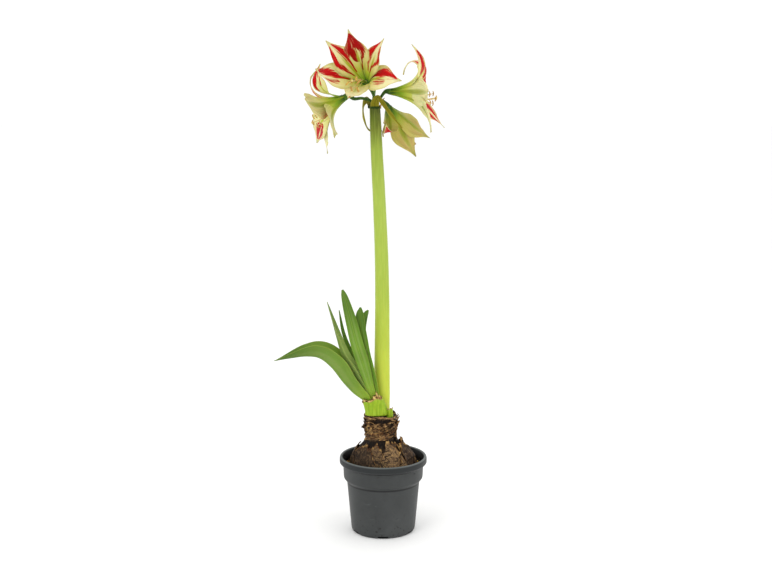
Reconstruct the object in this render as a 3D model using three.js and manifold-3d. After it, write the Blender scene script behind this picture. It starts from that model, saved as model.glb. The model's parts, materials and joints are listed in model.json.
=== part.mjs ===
// Amaryllis (Hippeastrum) in a 13 cm nursery pot, in bloom.
//
// Frame: millimetres, +Z up, the origin at the centre of the pot's flat base, the leaves towards -X and the
// open front bloom towards -Y. Every piece is one closed solid in its own named mesh: the pot, the soil that
// fills it, the bulb that sits in the soil, the sheath of leaf bases on its neck, six strap leaves, the flower
// stem (scape), the papery bracts at its top, four open blooms with their stamens, and a last bud that points
// back.
import * as THREE from "three";
import Module from "manifold-3d";
import { mergeVertices } from "three/addons/utils/BufferGeometryUtils.js";

const wasm = await Module();
wasm.setup();

const V = (x, y, z) => new THREE.Vector3(x, y, z);

// ---------- driving dimensions ----------
const GAP = 0.35; // air between two pieces that touch
const POT = {
  height: 115.5,
  lipRadius: 65.8,
  collarRadius: 59.8,
  bodyRadius: 54.8,
  baseRadius: 44.8,
  wall: 1.4,
  floor: 2.0,
  sides: 32,
  slots: { count: 6, depth: 9, width: 15, height: 3.4, ring: 44.3, middle: 2.4 },
};
const SOIL = { level: 98, lump: 2.2, rings: 4, gap: 0.5 };
const BULB = {
  base: 24,
  radius: 49,
  x: -1,
  neckX: -3.5,
  neckRadius: 22.5,
  neckTop: 181,
  sides: 24,
  levels: [0, 0.1, 0.25, 0.42, 0.53, 0.62, 0.69, 0.735, 0.79, 0.85, 0.91, 0.965, 0.985, 1],
};
const SHEATH = { x: -10, y: -11, halfWidth: 17, halfDepth: 10, lean: -9, height: 31, wall: 1.6, sides: 24 };
const SCAPE = { foot: 6, top: V(-12, 0, 638), sides: 14, steps: 12 };

// ---------- small mathematics ----------
const rad = (degrees) => (degrees * Math.PI) / 180;
const mix = (a, b, t) => a + (b - a) * t;
const smooth = (t) => {
  const c = Math.min(1, Math.max(0, t));
  return c * c * (3 - 2 * c);
};

// A smooth curve through [position, value] pairs; it stays flat past both ends.
function through(pairs) {
  return (t) => {
    const last = pairs.length - 1;
    if (t <= pairs[0][0]) return pairs[0][1];
    if (t >= pairs[last][0]) return pairs[last][1];
    let i = 0;
    while (pairs[i + 1][0] < t) i++;
    const slope = (k) => {
      const a = Math.max(0, k - 1);
      const b = Math.min(last, k + 1);
      return (pairs[b][1] - pairs[a][1]) / (pairs[b][0] - pairs[a][0]);
    };
    const h = pairs[i + 1][0] - pairs[i][0];
    const s = (t - pairs[i][0]) / h;
    const s2 = s * s;
    const s3 = s2 * s;
    return (
      (2 * s3 - 3 * s2 + 1) * pairs[i][1] +
      (s3 - 2 * s2 + s) * h * slope(i) +
      (3 * s2 - 2 * s3) * pairs[i + 1][1] +
      (s3 - s2) * h * slope(i + 1)
    );
  };
}

// Points along a smooth path, each with its tangent and two normals that don't spin (parallel transport).
function track(points, steps) {
  const curve = new THREE.CatmullRomCurve3(points, false, "centripetal");
  const frames = curve.computeFrenetFrames(steps, false);
  return Array.from({ length: steps + 1 }, (_, j) => ({
    v: j / steps,
    at: curve.getPointAt(j / steps),
    tangent: frames.tangents[j],
    side: frames.normals[j],
    up: frames.binormals[j],
  }));
}

// ---------- closed solids from rings and sheets ----------
function solid(points, faces) {
  const vertProperties = new Float32Array(points.flatMap((p) => [p.x, p.y, p.z]));
  const bodyOf = (corners) => {
    const triVerts = new Uint32Array(corners.flat());
    return new wasm.Manifold(new wasm.Mesh({ numProp: 3, vertProperties, triVerts }));
  };
  const made = bodyOf(faces);
  return made.volume() >= 0 ? made : bodyOf(faces.map(([a, b, c]) => [a, c, b]));
}

// A solid skinned over rings of equal count, closed at both ends by a fan on the ring's centre.
function skin(rings) {
  const n = rings[0].length;
  const points = rings.flat();
  const faces = [];
  for (let j = 0; j + 1 < rings.length; j++)
    for (let k = 0; k < n; k++) {
      const a = j * n + k;
      const b = j * n + ((k + 1) % n);
      faces.push([a, b, b + n], [a, b + n, a + n]);
    }
  for (const [first, turn] of [[0, true], [(rings.length - 1) * n, false]]) {
    const centre = points.length;
    points.push(points.slice(first, first + n).reduce((s, p) => s.add(p), V(0, 0, 0)).divideScalar(n));
    for (let k = 0; k < n; k++) {
      const a = first + k;
      const b = first + ((k + 1) % n);
      faces.push(turn ? [b, a, centre] : [a, b, centre]);
    }
  }
  return solid(points, faces);
}

// A thin blade: two faces of the same grid, split into triangles alike, with its edges closed.
function blade(inner, outer) {
  const rows = inner.length;
  const columns = inner[0].length;
  const points = [...inner.flat(), ...outer.flat()];
  const under = rows * columns;
  const faces = [];
  const at = (j, i) => j * columns + i;
  for (let j = 0; j + 1 < rows; j++)
    for (let i = 0; i + 1 < columns; i++)
      for (const [a, b, c] of [
        [at(j, i), at(j, i + 1), at(j + 1, i + 1)],
        [at(j, i), at(j + 1, i + 1), at(j + 1, i)],
      ])
        faces.push([a, b, c], [a + under, c + under, b + under]);
  const edge = (a, b) => faces.push([b, a, a + under], [b, a + under, b + under]);
  for (let i = 0; i + 1 < columns; i++) {
    edge(at(0, i), at(0, i + 1));
    edge(at(rows - 1, i + 1), at(rows - 1, i));
  }
  for (let j = 0; j + 1 < rows; j++) {
    edge(at(j + 1, 0), at(j, 0));
    edge(at(j, columns - 1), at(j + 1, columns - 1));
  }
  return solid(points, faces);
}

// A round rod along a path, its radius given along its length.
function rod(points, radius, sides, steps) {
  return skin(
    track(points, steps).map(({ v, at, side, up }) =>
      Array.from({ length: sides }, (_, k) => {
        const turn = (2 * Math.PI * k) / sides;
        const r = radius(v);
        return at.clone().addScaledVector(side, r * Math.cos(turn)).addScaledVector(up, r * Math.sin(turn));
      }),
    ),
  );
}

// The largest body of a solid: joining thin blades can leave loose scraps, which are dropped.
const larger = (best, one) => (one.volume() > best.volume() ? one : best);
const largest = (made) => made.decompose().reduce(larger);

function meshOf(name, made, colour, roughness) {
  const { numProp, vertProperties, triVerts } = made.getMesh();
  const position = new Float32Array((vertProperties.length / numProp) * 3);
  for (let i = 0; i * numProp < vertProperties.length; i++)
    position.set(vertProperties.subarray(i * numProp, i * numProp + 3), i * 3);
  const geometry = new THREE.BufferGeometry();
  geometry.setAttribute("position", new THREE.BufferAttribute(position, 3));
  geometry.setIndex(new THREE.BufferAttribute(triVerts, 1));
  geometry.computeVertexNormals();
  const material = new THREE.MeshStandardMaterial({ color: colour, roughness, metalness: 0 });
  const mesh = new THREE.Mesh(geometry, material);
  mesh.name = name;
  return mesh;
}

const plant = new THREE.Group();
const add = (name, made, colour, roughness = 0.6) => plant.add(meshOf(name, made, colour, roughness));

// A three.js geometry as a solid: only positions are kept, and vertices that coincide are merged.
function fromGeometry(geometry) {
  for (const name of ["normal", "uv"]) geometry.deleteAttribute(name);
  const merged = mergeVertices(geometry, 1e-3);
  const { position } = merged.attributes;
  const pointAt = (_, i) => V(0, 0, 0).fromBufferAttribute(position, i);
  const points = Array.from({ length: position.count }, pointAt);
  const faces = [];
  for (let i = 0; i < merged.index.count; i += 3) {
    const [a, b, c] = [0, 1, 2].map((k) => merged.index.getX(i + k));
    if (a !== b && b !== c && c !== a) faces.push([a, b, c]);
  }
  return solid(points, faces);
}

// A profile of [radius, z] turned about the Z axis.
function turned(profile, sides) {
  const outline = profile.map(([r, z]) => new THREE.Vector2(r, z));
  return fromGeometry(new THREE.LatheGeometry(outline, sides).rotateX(Math.PI / 2));
}

// ---------- pot ----------
// Injection-moulded nursery pot: rolled lip, wide collar, a step, then a taper to a flat base with rounded
// foot. Drainage slots cut through the foot's corner.
function potOutside() {
  const { height, lipRadius, collarRadius, bodyRadius, baseRadius } = POT;
  return [
    [baseRadius, 0],
    [baseRadius + 2.6, 1.6],
    [baseRadius + 3.7, 5],
    [bodyRadius, 76],
    [bodyRadius + 0.6, 77.5],
    [collarRadius - 0.6, 82],
    [collarRadius, 84],
    [collarRadius + 0.8, height - 13],
    [lipRadius - 1.2, height - 11],
    [lipRadius, height - 9.5],
    [lipRadius, height - 2.5],
    [lipRadius - 1.5, height],
  ];
}

// The pot's inside face, which the soil follows.
function potInside() {
  const { height, lipRadius, collarRadius, bodyRadius, baseRadius, wall, floor } = POT;
  return [
    [lipRadius - 4, height - 0.6],
    [collarRadius + 0.8 - wall, height - 10],
    [collarRadius - wall, 84],
    [bodyRadius - wall, 76.5],
    [baseRadius + 3.7 - wall, 6],
    [baseRadius - wall, floor],
  ];
}

function makePot() {
  const pot = turned([[0, 0], ...potOutside(), ...potInside(), [0, POT.floor]], POT.sides);
  const { count, depth, width, height, ring, middle } = POT.slots;
  return Array.from({ length: count }, (_, k) => {
    const slot = new THREE.BoxGeometry(depth, width, height).translate(ring, 0, middle);
    return fromGeometry(slot.rotateZ((2 * Math.PI * (k + 0.5)) / count));
  }).reduce((made, slot) => made.subtract(slot), pot);
}

// ---------- bulb ----------
// A round bulb with a thick neck. The low ridges are the edges of its dry overlapping scales.
const bulbRadius = through([
  [0, 20],
  [0.1, 34],
  [0.25, 45],
  [0.42, BULB.radius],
  [0.53, 47],
  [0.62, 40.5],
  [0.69, 31],
  [0.735, 25],
  [0.78, 22.8],
  [0.86, BULB.neckRadius],
  [0.95, 22.2],
  [0.985, 23.6],
  [1, 22],
]);

function bulbPoint(v, turn, swell = 0) {
  const z = mix(BULB.base, BULB.neckTop, v);
  const lobe = 0.045 * Math.sin(3 * turn + 0.6) * smooth((0.8 - v) / 0.3);
  const r = bulbRadius(v) * (1 + lobe + 0.03 * Math.sin(7 * turn + 14 * v)) + swell;
  const x = mix(BULB.x, BULB.neckX, smooth((v - 0.45) / 0.3));
  return V(x + r * Math.cos(turn), r * Math.sin(turn), z);
}

const bulbTurns = Array.from({ length: BULB.sides }, (_, k) => (2 * Math.PI * k) / BULB.sides);
const bulbRings = (levels, swell) => levels.map((v) => bulbTurns.map((turn) => bulbPoint(v, turn, swell)));

function makeBulb(hollows) {
  return skin(bulbRings(BULB.levels, 0)).subtract(hollows);
}

// ---------- soil ----------
// Peat that fills the pot below the rim, lumpy on top, with a plain hollow that holds the bulb.
function makeSoil() {
  const { level, lump, rings } = SOIL;
  const wall = potInside();
  const above = wall.findIndex(([, z]) => z < level);
  const [[topRadius, topZ], [lowRadius, lowZ]] = [wall[above - 1], wall[above]];
  const edge = mix(lowRadius, topRadius, (level - lowZ) / (topZ - lowZ)) - SOIL.gap;
  const ringAt = (r, height) =>
    Array.from({ length: POT.sides }, (_, k) => {
      const turn = (2 * Math.PI * k) / POT.sides;
      return V(r * Math.cos(turn), r * Math.sin(turn), height(turn));
    });
  const onWall = ([r, z]) => ringAt(r - SOIL.gap, () => Math.max(z, POT.floor + GAP));
  const sides = wall.slice(above).reverse().map(onWall);
  const waves = (turn, share) => Math.sin(5 * turn + 9 * share) + 0.7 * Math.sin(11 * turn - 5 * share);
  const lumpy = (share) => (turn) => level + lump * waves(turn, share) * (1 - 0.6 * share);
  const onTop = (share) => ringAt(edge * (1 - share), share ? lumpy(share) : () => level);
  const top = Array.from({ length: rings }, (_, k) => onTop(k / rings));
  const hollow = skin(bulbRings(BULB.levels.slice(0, 7), SOIL.gap)).translate([0, 0, -SOIL.gap]);
  return largest(skin([...sides, ...top]).subtract(hollow));
}

// ---------- flower stem ----------
// The hollow-looking thick scape leans a little left as it climbs, and narrows from its foot to its top.
const SCAPE_PATH = [
  V(-1.4, 10, BULB.neckTop - SCAPE.foot),
  V(-1.8, 10.5, 240),
  V(-1.4, 8, 350),
  V(-2.2, 5, 410),
  V(-5.6, 2.5, 500),
  V(-9.2, 1, 570),
  SCAPE.top,
];
const SCAPE_RADIUS = through([
  [0, 10.8],
  [0.08, 11.8],
  [0.35, 10.8],
  [0.6, 9.7],
  [0.85, 8.8],
  [1, 7.8],
]);
const makeScape = () => rod(SCAPE_PATH, SCAPE_RADIUS, SCAPE.sides, SCAPE.steps);

// The plain hole that the scape stands in, GAP wider and deeper than the scape itself.
function makeScapeHollow() {
  const path = [SCAPE_PATH[0].clone().setZ(SCAPE_PATH[0].z - GAP), ...SCAPE_PATH.slice(1, 3)];
  return rod(path, (v) => SCAPE_RADIUS(0.4 * v) + 1.5 * GAP, SCAPE.sides, 6);
}

// ---------- leaf sheath ----------
// The green cup of old leaf bases on the neck, with a torn rim. It leans left with the leaves.
function sheathRing(level, inset, height) {
  const { x, y, halfWidth, halfDepth, lean, sides } = SHEATH;
  return Array.from({ length: sides }, (_, k) => {
    const turn = (2 * Math.PI * k) / sides;
    const z = height(turn);
    const shift = (lean * level * (z - BULB.neckTop)) / SHEATH.height;
    return V(
      x + shift + (halfWidth * (1 - 0.1 * level) - inset) * Math.cos(turn),
      y + (halfDepth - inset) * Math.sin(turn),
      z,
    );
  });
}

function sheathRim(turn) {
  const slope = 3.5 * Math.cos(turn) - 2 * Math.sin(turn);
  return BULB.neckTop + SHEATH.height - 7 + slope + 1.2 * Math.sin(5 * turn + 1);
}

function makeSheath(scapeHollow) {
  const { wall, height } = SHEATH;
  const foot = () => BULB.neckTop + GAP;
  const half = (turn) => mix(foot(), sheathRim(turn), 0.5);
  const floor = () => BULB.neckTop + height * 0.35;
  const cup = skin([
    sheathRing(0, 0, foot),
    sheathRing(0.5, 0, half),
    sheathRing(1, 0, sheathRim),
    sheathRing(1, wall, sheathRim),
    sheathRing(0.5, wall, floor),
  ]);
  return cup.subtract(scapeHollow);
}

// ---------- straps: leaves and bracts ----------
// A strap is a folded blade along its keel. spine is the keel's path, face the way its hollow side looks at
// the foot and at the tip, half the half-width along it, and fold the angle of each half from that way.
function strap({ spine, face, half, fold }, { columns, rows, thick, thin, keel }) {
  const halfWidth = through(half);
  const folded = through(fold);
  const [footFace, tipFace] = face.map((f) => V(...f).normalize());
  const inner = [];
  const outer = [];
  for (const { v, at, tangent } of track(spine.map((p) => V(...p)), rows)) {
    const hollow = footFace.clone().lerp(tipFace, v);
    hollow.addScaledVector(tangent, -hollow.dot(tangent)).normalize();
    const side = tangent.clone().cross(hollow);
    const [s, c] = [Math.sin(rad(folded(v))), Math.cos(rad(folded(v)))];
    const depth = mix(thick, thin, v) / 2;
    const innerRow = [];
    const outerRow = [];
    for (let i = 0; i <= columns; i++) {
      const x = ((2 * i) / columns - 1) * halfWidth(v);
      const bend = Math.hypot(x, keel);
      const mid = at.clone().addScaledVector(side, x * s).addScaledVector(hollow, (bend - keel) * c);
      const normal = hollow.clone().multiplyScalar(s).addScaledVector(side, (-x / bend) * c).normalize();
      innerRow.push(mid.clone().addScaledVector(normal, depth));
      outerRow.push(mid.clone().addScaledVector(normal, -depth));
    }
    inner.push(innerRow);
    outer.push(outerRow);
  }
  return blade(inner, outer);
}

const LEAF = { columns: 4, rows: 11, thick: 1.3, thin: 0.9, keel: 3 };
const LEAVES = {
  leaf_arching: {
    spine: [
      [-19.9, -10.8, 193], [-31, -11.3, 204.4], [-43.5, -11.7, 214], [-58.5, -12, 230], [-77.5, -12, 254.5],
      [-95, -12, 268], [-113, -12, 270.5], [-137, -13, 268], [-162, -14, 264],
    ],
    face: [[0.8, -0.1, 0.6], [0.1, 0, 1]],
    half: [
      [0, 10], [0.05, 15], [0.1, 19.5], [0.2, 24], [0.3, 27],
      [0.45, 31.5], [0.6, 30], [0.8, 17], [0.93, 7], [1, 1.2],
    ],
    fold: [[0, 25], [0.3, 25], [0.55, 30], [1, 38]],
  },
  leaf_left: {
    spine: [
      [-15.8, -11, 193], [-27.3, -11.3, 216], [-46, -11.7, 247], [-60, -12, 270],
      [-69, -11.5, 300], [-75, -11, 324], [-82.5, -10, 352],
    ],
    face: [[0.8, -0.1, 0.5], [0.9, -0.3, 0.1]],
    half: [
      [0, 5], [0.1, 6], [0.2, 10], [0.3, 13.5], [0.45, 15.5],
      [0.65, 12], [0.85, 6], [0.95, 3.4], [1, 1.1],
    ],
    fold: [[0, 25], [0.4, 36], [0.8, 50], [1, 60]],
  },
  leaf_slim: {
    spine: [
      [-15, -5.1, 193], [-20.7, -4.2, 210], [-26, 0, 224], [-32.5, 4.2, 238],
      [-39.5, 5, 253], [-51.5, 4.5, 280], [-59.5, 4, 304], [-65.5, 4, 337],
    ],
    face: [[0.3, -0.95, 0.1], [0.3, -0.9, 0.1]],
    half: [[0, 2.2], [0.2, 4], [0.5, 4.6], [0.7, 3.2], [0.9, 1.9], [1, 0.8]],
    fold: [[0, 76], [1, 80]],
  },
  leaf_tall: {
    spine: [
      [-9.1, -12.5, 193.3], [-17, -12.2, 216], [-30.5, -11.5, 261],
      [-40, -11, 292], [-49.6, -10, 331], [-60, -9.5, 370],
    ],
    face: [[0.1, -0.99, 0], [0.35, -0.94, 0.1]],
    half: [[0, 3], [0.15, 6], [0.4, 9.8], [0.7, 9.2], [0.88, 6.6], [0.96, 4.4], [1, 1.6]],
    fold: [[0, 66], [1, 78]],
  },
  leaf_dark: {
    spine: [
      [-6.2, -9.8, 193], [-12.2, -8.6, 214], [-23.4, -6.5, 258],
      [-30.5, -5.5, 294], [-34, -5, 325], [-33.5, -5, 343],
    ],
    face: [[-0.25, -0.97, 0], [-0.45, -0.9, 0.1]],
    half: [[0, 3.4], [0.15, 7], [0.3, 9.6], [0.6, 9.8], [0.85, 8.6], [0.95, 5.6], [1, 1.4]],
    fold: [[0, 70], [1, 76]],
  },
  leaf_back: {
    spine: [
      [-8.2, -6.4, 193], [-13.6, -4.8, 214], [-24.5, -2.6, 262], [-30, -1.4, 300],
      [-29.5, -0.8, 320], [-26.4, 0, 331.5], [-22, 1, 338],
    ],
    face: [[-0.1, -1, 0], [0.3, -0.9, -0.4]],
    half: [[0, 2.4], [0.3, 4.4], [0.8, 5], [0.9, 5.4], [0.97, 4], [1, 1.2]],
    fold: [[0, 72], [1, 74]],
  },
};

// The bracts wrapped the buds. They hug the scape's top from outside and end in dry hanging ribbons.
const BRACT = { columns: 2, rows: 18, thick: 0.9, thin: 0.8, keel: 3 };
const BRACTS = {
  bract_front: {
    spine: [
      [-12, -9.1, 633.5], [-12, -9.4, 639], [-10.5, -10.5, 645], [-7, -14, 649.5],
      [-1, -20, 642], [10, -28, 627], [27, -34, 606],
    ],
    face: [[0.1, 1, 0], [-0.5, 0.6, -0.6]],
    half: [[0, 7], [0.1, 6.2], [0.2, 4.5], [0.26, 3], [0.35, 3.2], [0.6, 3], [0.8, 2.4], [1, 0.8]],
    fold: [[0, 66], [0.3, 80], [1, 76]],
  },
  bract_back: {
    spine: [
      [-19, 5.4, 633.5], [-20, 6, 640], [-24.5, 5, 645.5], [-28.5, 3, 638], [-29, 2, 628], [-27, 4, 616],
      [-21, 12, 603], [-12, 14, 600], [-4, 12.5, 603], [-0.9, 3.4, 599.4], [0.2, -6, 593],
    ],
    face: [[0.8, -0.6, 0], [0.4, -0.9, 0]],
    half: [[0, 6.5], [0.12, 5.6], [0.25, 2.2], [0.6, 1.4], [1, 0.7]],
    fold: [[0, 66], [0.3, 84], [1, 84]],
  },
  bracteole: {
    spine: [[-3.3, -1.6, 633.5], [-2.8, -2, 640], [-1, -3.6, 646], [2.4, -5, 648.5]],
    face: [[-1, 0.2, 0], [-0.7, 0.3, -0.6]],
    half: [[0, 3.4], [0.5, 3], [1, 0.8]],
    fold: [[0, 72], [1, 84]],
  },
};

// ---------- blooms ----------
// A bloom is six tepals on one tube, which a stalk carries from the scape's top. at is the foot of the tube
// and axis the way it points. A tepal leaves the tube turn degrees round the axis (0 is uppermost), opens from
// funnel to flare degrees, and from bend on rolls back by a further curl. It may twist about its own length,
// and cup says how strongly it bows across. The first three are the outer ones, the sepals.
const TEPAL = {
  columns: 4,
  rows: 7,
  thick: 0.95,
  thin: 0.8,
  funnel: 22,
  outerFoot: 5.1,
  innerFoot: 3.7,
  cup: 0.012,
  leastBow: 0.002,
  wave: 1.2,
  bend: 0.55,
};
const TEPAL_WIDTH = through([
  [0, 0.2],
  [0.15, 0.38],
  [0.3, 0.68],
  [0.44, 0.93],
  [0.55, 1],
  [0.65, 0.87],
  [0.74, 0.62],
  [0.82, 0.38],
  [0.9, 0.19],
  [0.96, 0.09],
  [1, 0.03],
]);
const STALK = {
  foot: 2.1,
  ovary: 4.3,
  tube: 5.2,
  sides: 8,
  steps: 8,
  rise: 5,
  ovaryLength: 8,
  plug: 5,
  gap: 0.55, // more than GAP, because the foot's rim tips a little
};
const STAMENS = {
  peg: 2.3,
  sink: 3.4,
  out: 2.5,
  ring: 1.4,
  sides: 8,
  filament: 0.68,
  spread: 7.5,
  bow: [0.35, 0.95, 0.8], // shares of the droop along a filament
  style: 10,
};
const ANTHER = { length: 8, radius: 1.1, sides: 4, lean: 0.7 };

const BLOOMS = {
  bloom_front: {
    at: [-24, -4, 668.5],
    axis: [-0.2, -0.91, 0.36],
    foot: [0, -4.7],
    via: [[-13.5, -4, 652], [-18, 0, 661]],
    stamens: { reach: 58, droop: 20, swing: -3, spread: 8, bow: [0.1, 0.6, 1.15] },
    tepals: [
      { turn: -10, flare: 15, curl: 12, length: 105, half: 19 },
      { turn: 109, flare: 56, curl: 10, length: 98, half: 20.5 },
      { turn: -110, flare: 42, curl: -36, length: 110, half: 21.5 },
      { turn: 55, flare: 29, curl: 10, length: 103, half: 16 },
      { turn: -175, flare: 44, curl: -10, length: 92, half: 17 },
      { turn: -57, flare: 22, curl: 10, length: 105, half: 19 },
    ],
  },
  bloom_left: {
    at: [-56, -8, 648.5],
    axis: [-0.86, -0.12, -0.48],
    foot: [-4.7, -0.6],
    via: [[-30, -3, 648], [-42, -5.5, 647.5]],
    stamens: { reach: 52, droop: 11, swing: 0, style: 5 },
    tepals: [
      { turn: 68, flare: 66, curl: 20, length: 98, half: 23, cup: 0.004 },
      { turn: -29, flare: 91, curl: 75, length: 84, half: 12 },
      { turn: -137, flare: 76, curl: 4, length: 107, half: 12 },
      { turn: 12, flare: 96, curl: 45, length: 71, half: 10.5, funnel: 40, twist: 60 },
      { turn: 128, flare: 82, curl: -16, length: 80, half: 24, cup: 0.006 },
      { turn: -121, flare: 71, curl: 0, length: 106, half: 20 },
    ],
  },
  bloom_right: {
    at: [11.5, -4, 657.5],
    axis: [0.985, -0.12, 0],
    foot: [4.6, -1],
    via: [[-3, 0, 650]],
    stamens: { reach: 60, droop: 12, swing: 4, style: 4 },
    tepals: [
      { turn: -46, flare: 86, curl: 32, length: 115, half: 7.5, twist: -50 },
      { turn: 70, flare: 62, curl: 60, length: 88, half: 17 },
      { turn: -128, flare: 70, curl: 12, length: 117, half: 15 },
      { turn: 15, flare: 48, curl: 215, length: 106, half: 11.5, bend: 0.35, cup: -0.035, twist: -34 },
      { turn: 136, flare: 58, curl: 0, length: 105, half: 14 },
      { turn: -91, flare: 50, curl: 34, length: 90, half: 21, cup: 0.006 },
    ],
  },
  bloom_lower: {
    at: [7, 10, 635.5],
    axis: [0.29, 0.75, -0.59],
    foot: [3, 3.8],
    via: [[-4, 4.2, 646]],
    stamens: { reach: 74, droop: 10, swing: -13 },
    tepals: [
      { turn: -84, flare: 23, curl: 5, length: 92, half: 19 },
      { turn: 186, flare: 96, curl: 130, length: 60, half: 12, bend: 0.45 },
      { turn: 40, flare: 12, curl: 10, length: 88, half: 15 },
      { turn: -139, flare: 21, curl: 5, length: 92, half: 18 },
      { turn: 92, flare: 14, curl: 10, length: 70, half: 13 },
      { turn: -20, flare: 12, curl: 10, length: 90, half: 14 },
    ],
  },
};

// The bloom's own directions: along its axis, and the two across it that turn is measured from.
function bloomFrame({ at, axis }) {
  const along = V(...axis).normalize();
  const uppermost = V(0, 0, 1).addScaledVector(along, -along.z).normalize();
  return { base: V(...at), along, uppermost, across: uppermost.clone().cross(along) };
}

function tepalAngle({ flare, curl, bend = TEPAL.bend, funnel = TEPAL.funnel }, v) {
  const opening = funnel * smooth(v / 0.2 + 0.35) + (flare - funnel) * smooth((v - 0.12) / 0.55);
  return rad(opening + curl * smooth((v - bend) / (1 - bend)));
}

function makeTepal(frame, tepal, footRadius) {
  const { columns, rows, thick, thin, wave, leastBow } = TEPAL;
  const { cup = TEPAL.cup, twist = 0 } = tepal;
  const turn = rad(tepal.turn);
  const mix2 = (a, x, b, y) => a.clone().multiplyScalar(x).addScaledVector(b, y);
  const out = mix2(frame.uppermost, Math.cos(turn), frame.across, Math.sin(turn));
  const at = frame.base.clone().addScaledVector(out, footRadius);
  const fine = 5;
  const inner = [];
  const outer = [];
  for (let j = 0; j <= rows; j++) {
    const v = j / rows;
    const angle = tepalAngle(tepal, v);
    const tangent = mix2(frame.along, Math.cos(angle), out, Math.sin(angle));
    const flatFace = mix2(frame.along, Math.sin(angle), out, -Math.cos(angle));
    const flatSide = tangent.clone().cross(flatFace);
    const roll = rad(twist * smooth((v - 0.15) / 0.5));
    const face = mix2(flatFace, Math.cos(roll), flatSide, Math.sin(roll));
    const side = mix2(flatSide, Math.cos(roll), flatFace, -Math.sin(roll));
    const radius = Math.max(1, at.clone().sub(frame.base).dot(out));
    const open = smooth((v - 0.25) / 0.45);
    const round = Math.max(leastBow, Math.cos(angle) / radius) * (1 - open) + cup * open;
    const bow = Math.abs(round) < leastBow ? leastBow : round;
    const innerRow = [];
    const outerRow = [];
    for (let i = 0; i <= columns; i++) {
      const share = (2 * i) / columns - 1;
      const x = share * tepal.half * TEPAL_WIDTH(v);
      const ripple = wave * open * share * share * Math.sin(9 * v + 2.4 * share + tepal.turn);
      const mid = at
        .clone()
        .addScaledVector(side, Math.sin(bow * x) / bow)
        .addScaledVector(face, (1 - Math.cos(bow * x)) / bow + ripple);
      const normal = mix2(face, Math.cos(bow * x), side, -Math.sin(bow * x));
      const depth = mix(thick, thin, v) / 2;
      innerRow.push(mid.clone().addScaledVector(normal, depth));
      outerRow.push(mid.clone().addScaledVector(normal, -depth));
    }
    inner.push(innerRow);
    outer.push(outerRow);
    for (let k = 0; k < fine; k++) {
      const next = tepalAngle(tepal, v + (k + 0.5) / (fine * rows));
      const step = tepal.length / (fine * rows);
      at.add(mix2(frame.along, Math.cos(next), out, Math.sin(next)).multiplyScalar(step));
    }
  }
  return blade(inner, outer);
}

// The stalk, the ovary that it swells to, and the plug that closes the foot of the tube.
function makeStalk({ foot, via }, { base, along }) {
  const { rise, ovaryLength, plug, sides, steps } = STALK;
  const start = SCAPE.top.clone().add(V(...foot, STALK.gap));
  const path = [
    start,
    start.clone().add(V(0, 0, rise)),
    ...via.map((p) => V(...p)),
    base.clone().addScaledVector(along, -ovaryLength),
    base,
    base.clone().addScaledVector(along, plug),
  ];
  const radius = through([
    [0, STALK.foot],
    [0.55, STALK.foot + 0.3],
    [0.78, STALK.ovary],
    [1, STALK.tube],
  ]);
  return rod(path, radius, sides, steps);
}

// The peg that carries the stamens, and with a margin of GAP the hole it stands in.
function makePeg({ base, along }, margin) {
  const { peg, sink, out, sides } = STAMENS;
  const top = STALK.plug + out;
  const from = base.clone().addScaledVector(along, STALK.plug - sink - margin);
  return rod([from, base.clone().addScaledVector(along, top)], () => peg + margin, sides, 1);
}

function makeBloom(bloom) {
  const frame = bloomFrame(bloom);
  const joined = bloom.tepals.reduce(
    (made, tepal, k) => made.add(makeTepal(frame, tepal, k < 3 ? TEPAL.outerFoot : TEPAL.innerFoot)),
    makeStalk(bloom, frame),
  );
  return largest(joined.subtract(makePeg(frame, GAP)));
}

// Six filaments and a longer style rise from the peg, lie low in the bloom and lift their ends. Each
// filament carries a curved anther, the style a knob.
function makeStamens(bloom) {
  const frame = bloomFrame(bloom);
  const { base, along, uppermost, across } = frame;
  const { reach, droop, swing, style, spread, bow, ring, filament } = { ...STAMENS, ...bloom.stamens };
  const place = (ahead, up, aside) => {
    const middle = base.clone().addScaledVector(along, ahead);
    return middle.addScaledVector(uppermost, up).addScaledVector(across, aside);
  };
  let made = makePeg(frame, 0);
  for (let k = 0; k <= 6; k++) {
    const last = k === 6;
    const turn = (Math.PI * k) / 3 + 0.4;
    const [up, aside] = last ? [0, 0] : [Math.cos(turn), Math.sin(turn)];
    const length = reach + (last ? style : 5 * Math.sin(2.1 * k));
    const path = [
      place(STALK.plug, ring * up, ring * aside),
      place(0.3 * length, ring * up - bow[0] * droop, 1.4 * ring * aside + 0.25 * swing),
      place(0.66 * length, 0.5 * spread * up - bow[1] * droop, 0.6 * spread * aside + 0.7 * swing),
      place(length, spread * up - bow[2] * droop, spread * aside + swing),
    ];
    made = made.add(rod(path, (v) => filament * (1 - 0.2 * v), 3, 5));
    made = made.add(last ? makeStigma(path) : makeAnther(path, k));
  }
  return largest(made);

  function makeAnther([, , , tip], k) {
    const lean = ANTHER.lean * Math.sin(1.9 * k);
    const lie = uppermost.clone().multiplyScalar(Math.cos(lean)).addScaledVector(across, Math.sin(lean));
    const bowed = [-1, 0, 1].map((t) =>
      tip
        .clone()
        .addScaledVector(lie, (t * ANTHER.length) / 2)
        .addScaledVector(along, 1.2 * (1 - t * t) - 0.6),
    );
    return rod(bowed, (v) => ANTHER.radius * (0.4 + 0.6 * Math.sin(Math.PI * v)), ANTHER.sides, 3);
  }

  function makeStigma([, , , tip]) {
    const ends = [tip.clone().addScaledVector(along, -1), tip.clone().addScaledVector(along, 1.6)];
    return rod(ends, (v) => 1.1 + 0.5 * v, 6, 1);
  }
}

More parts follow.
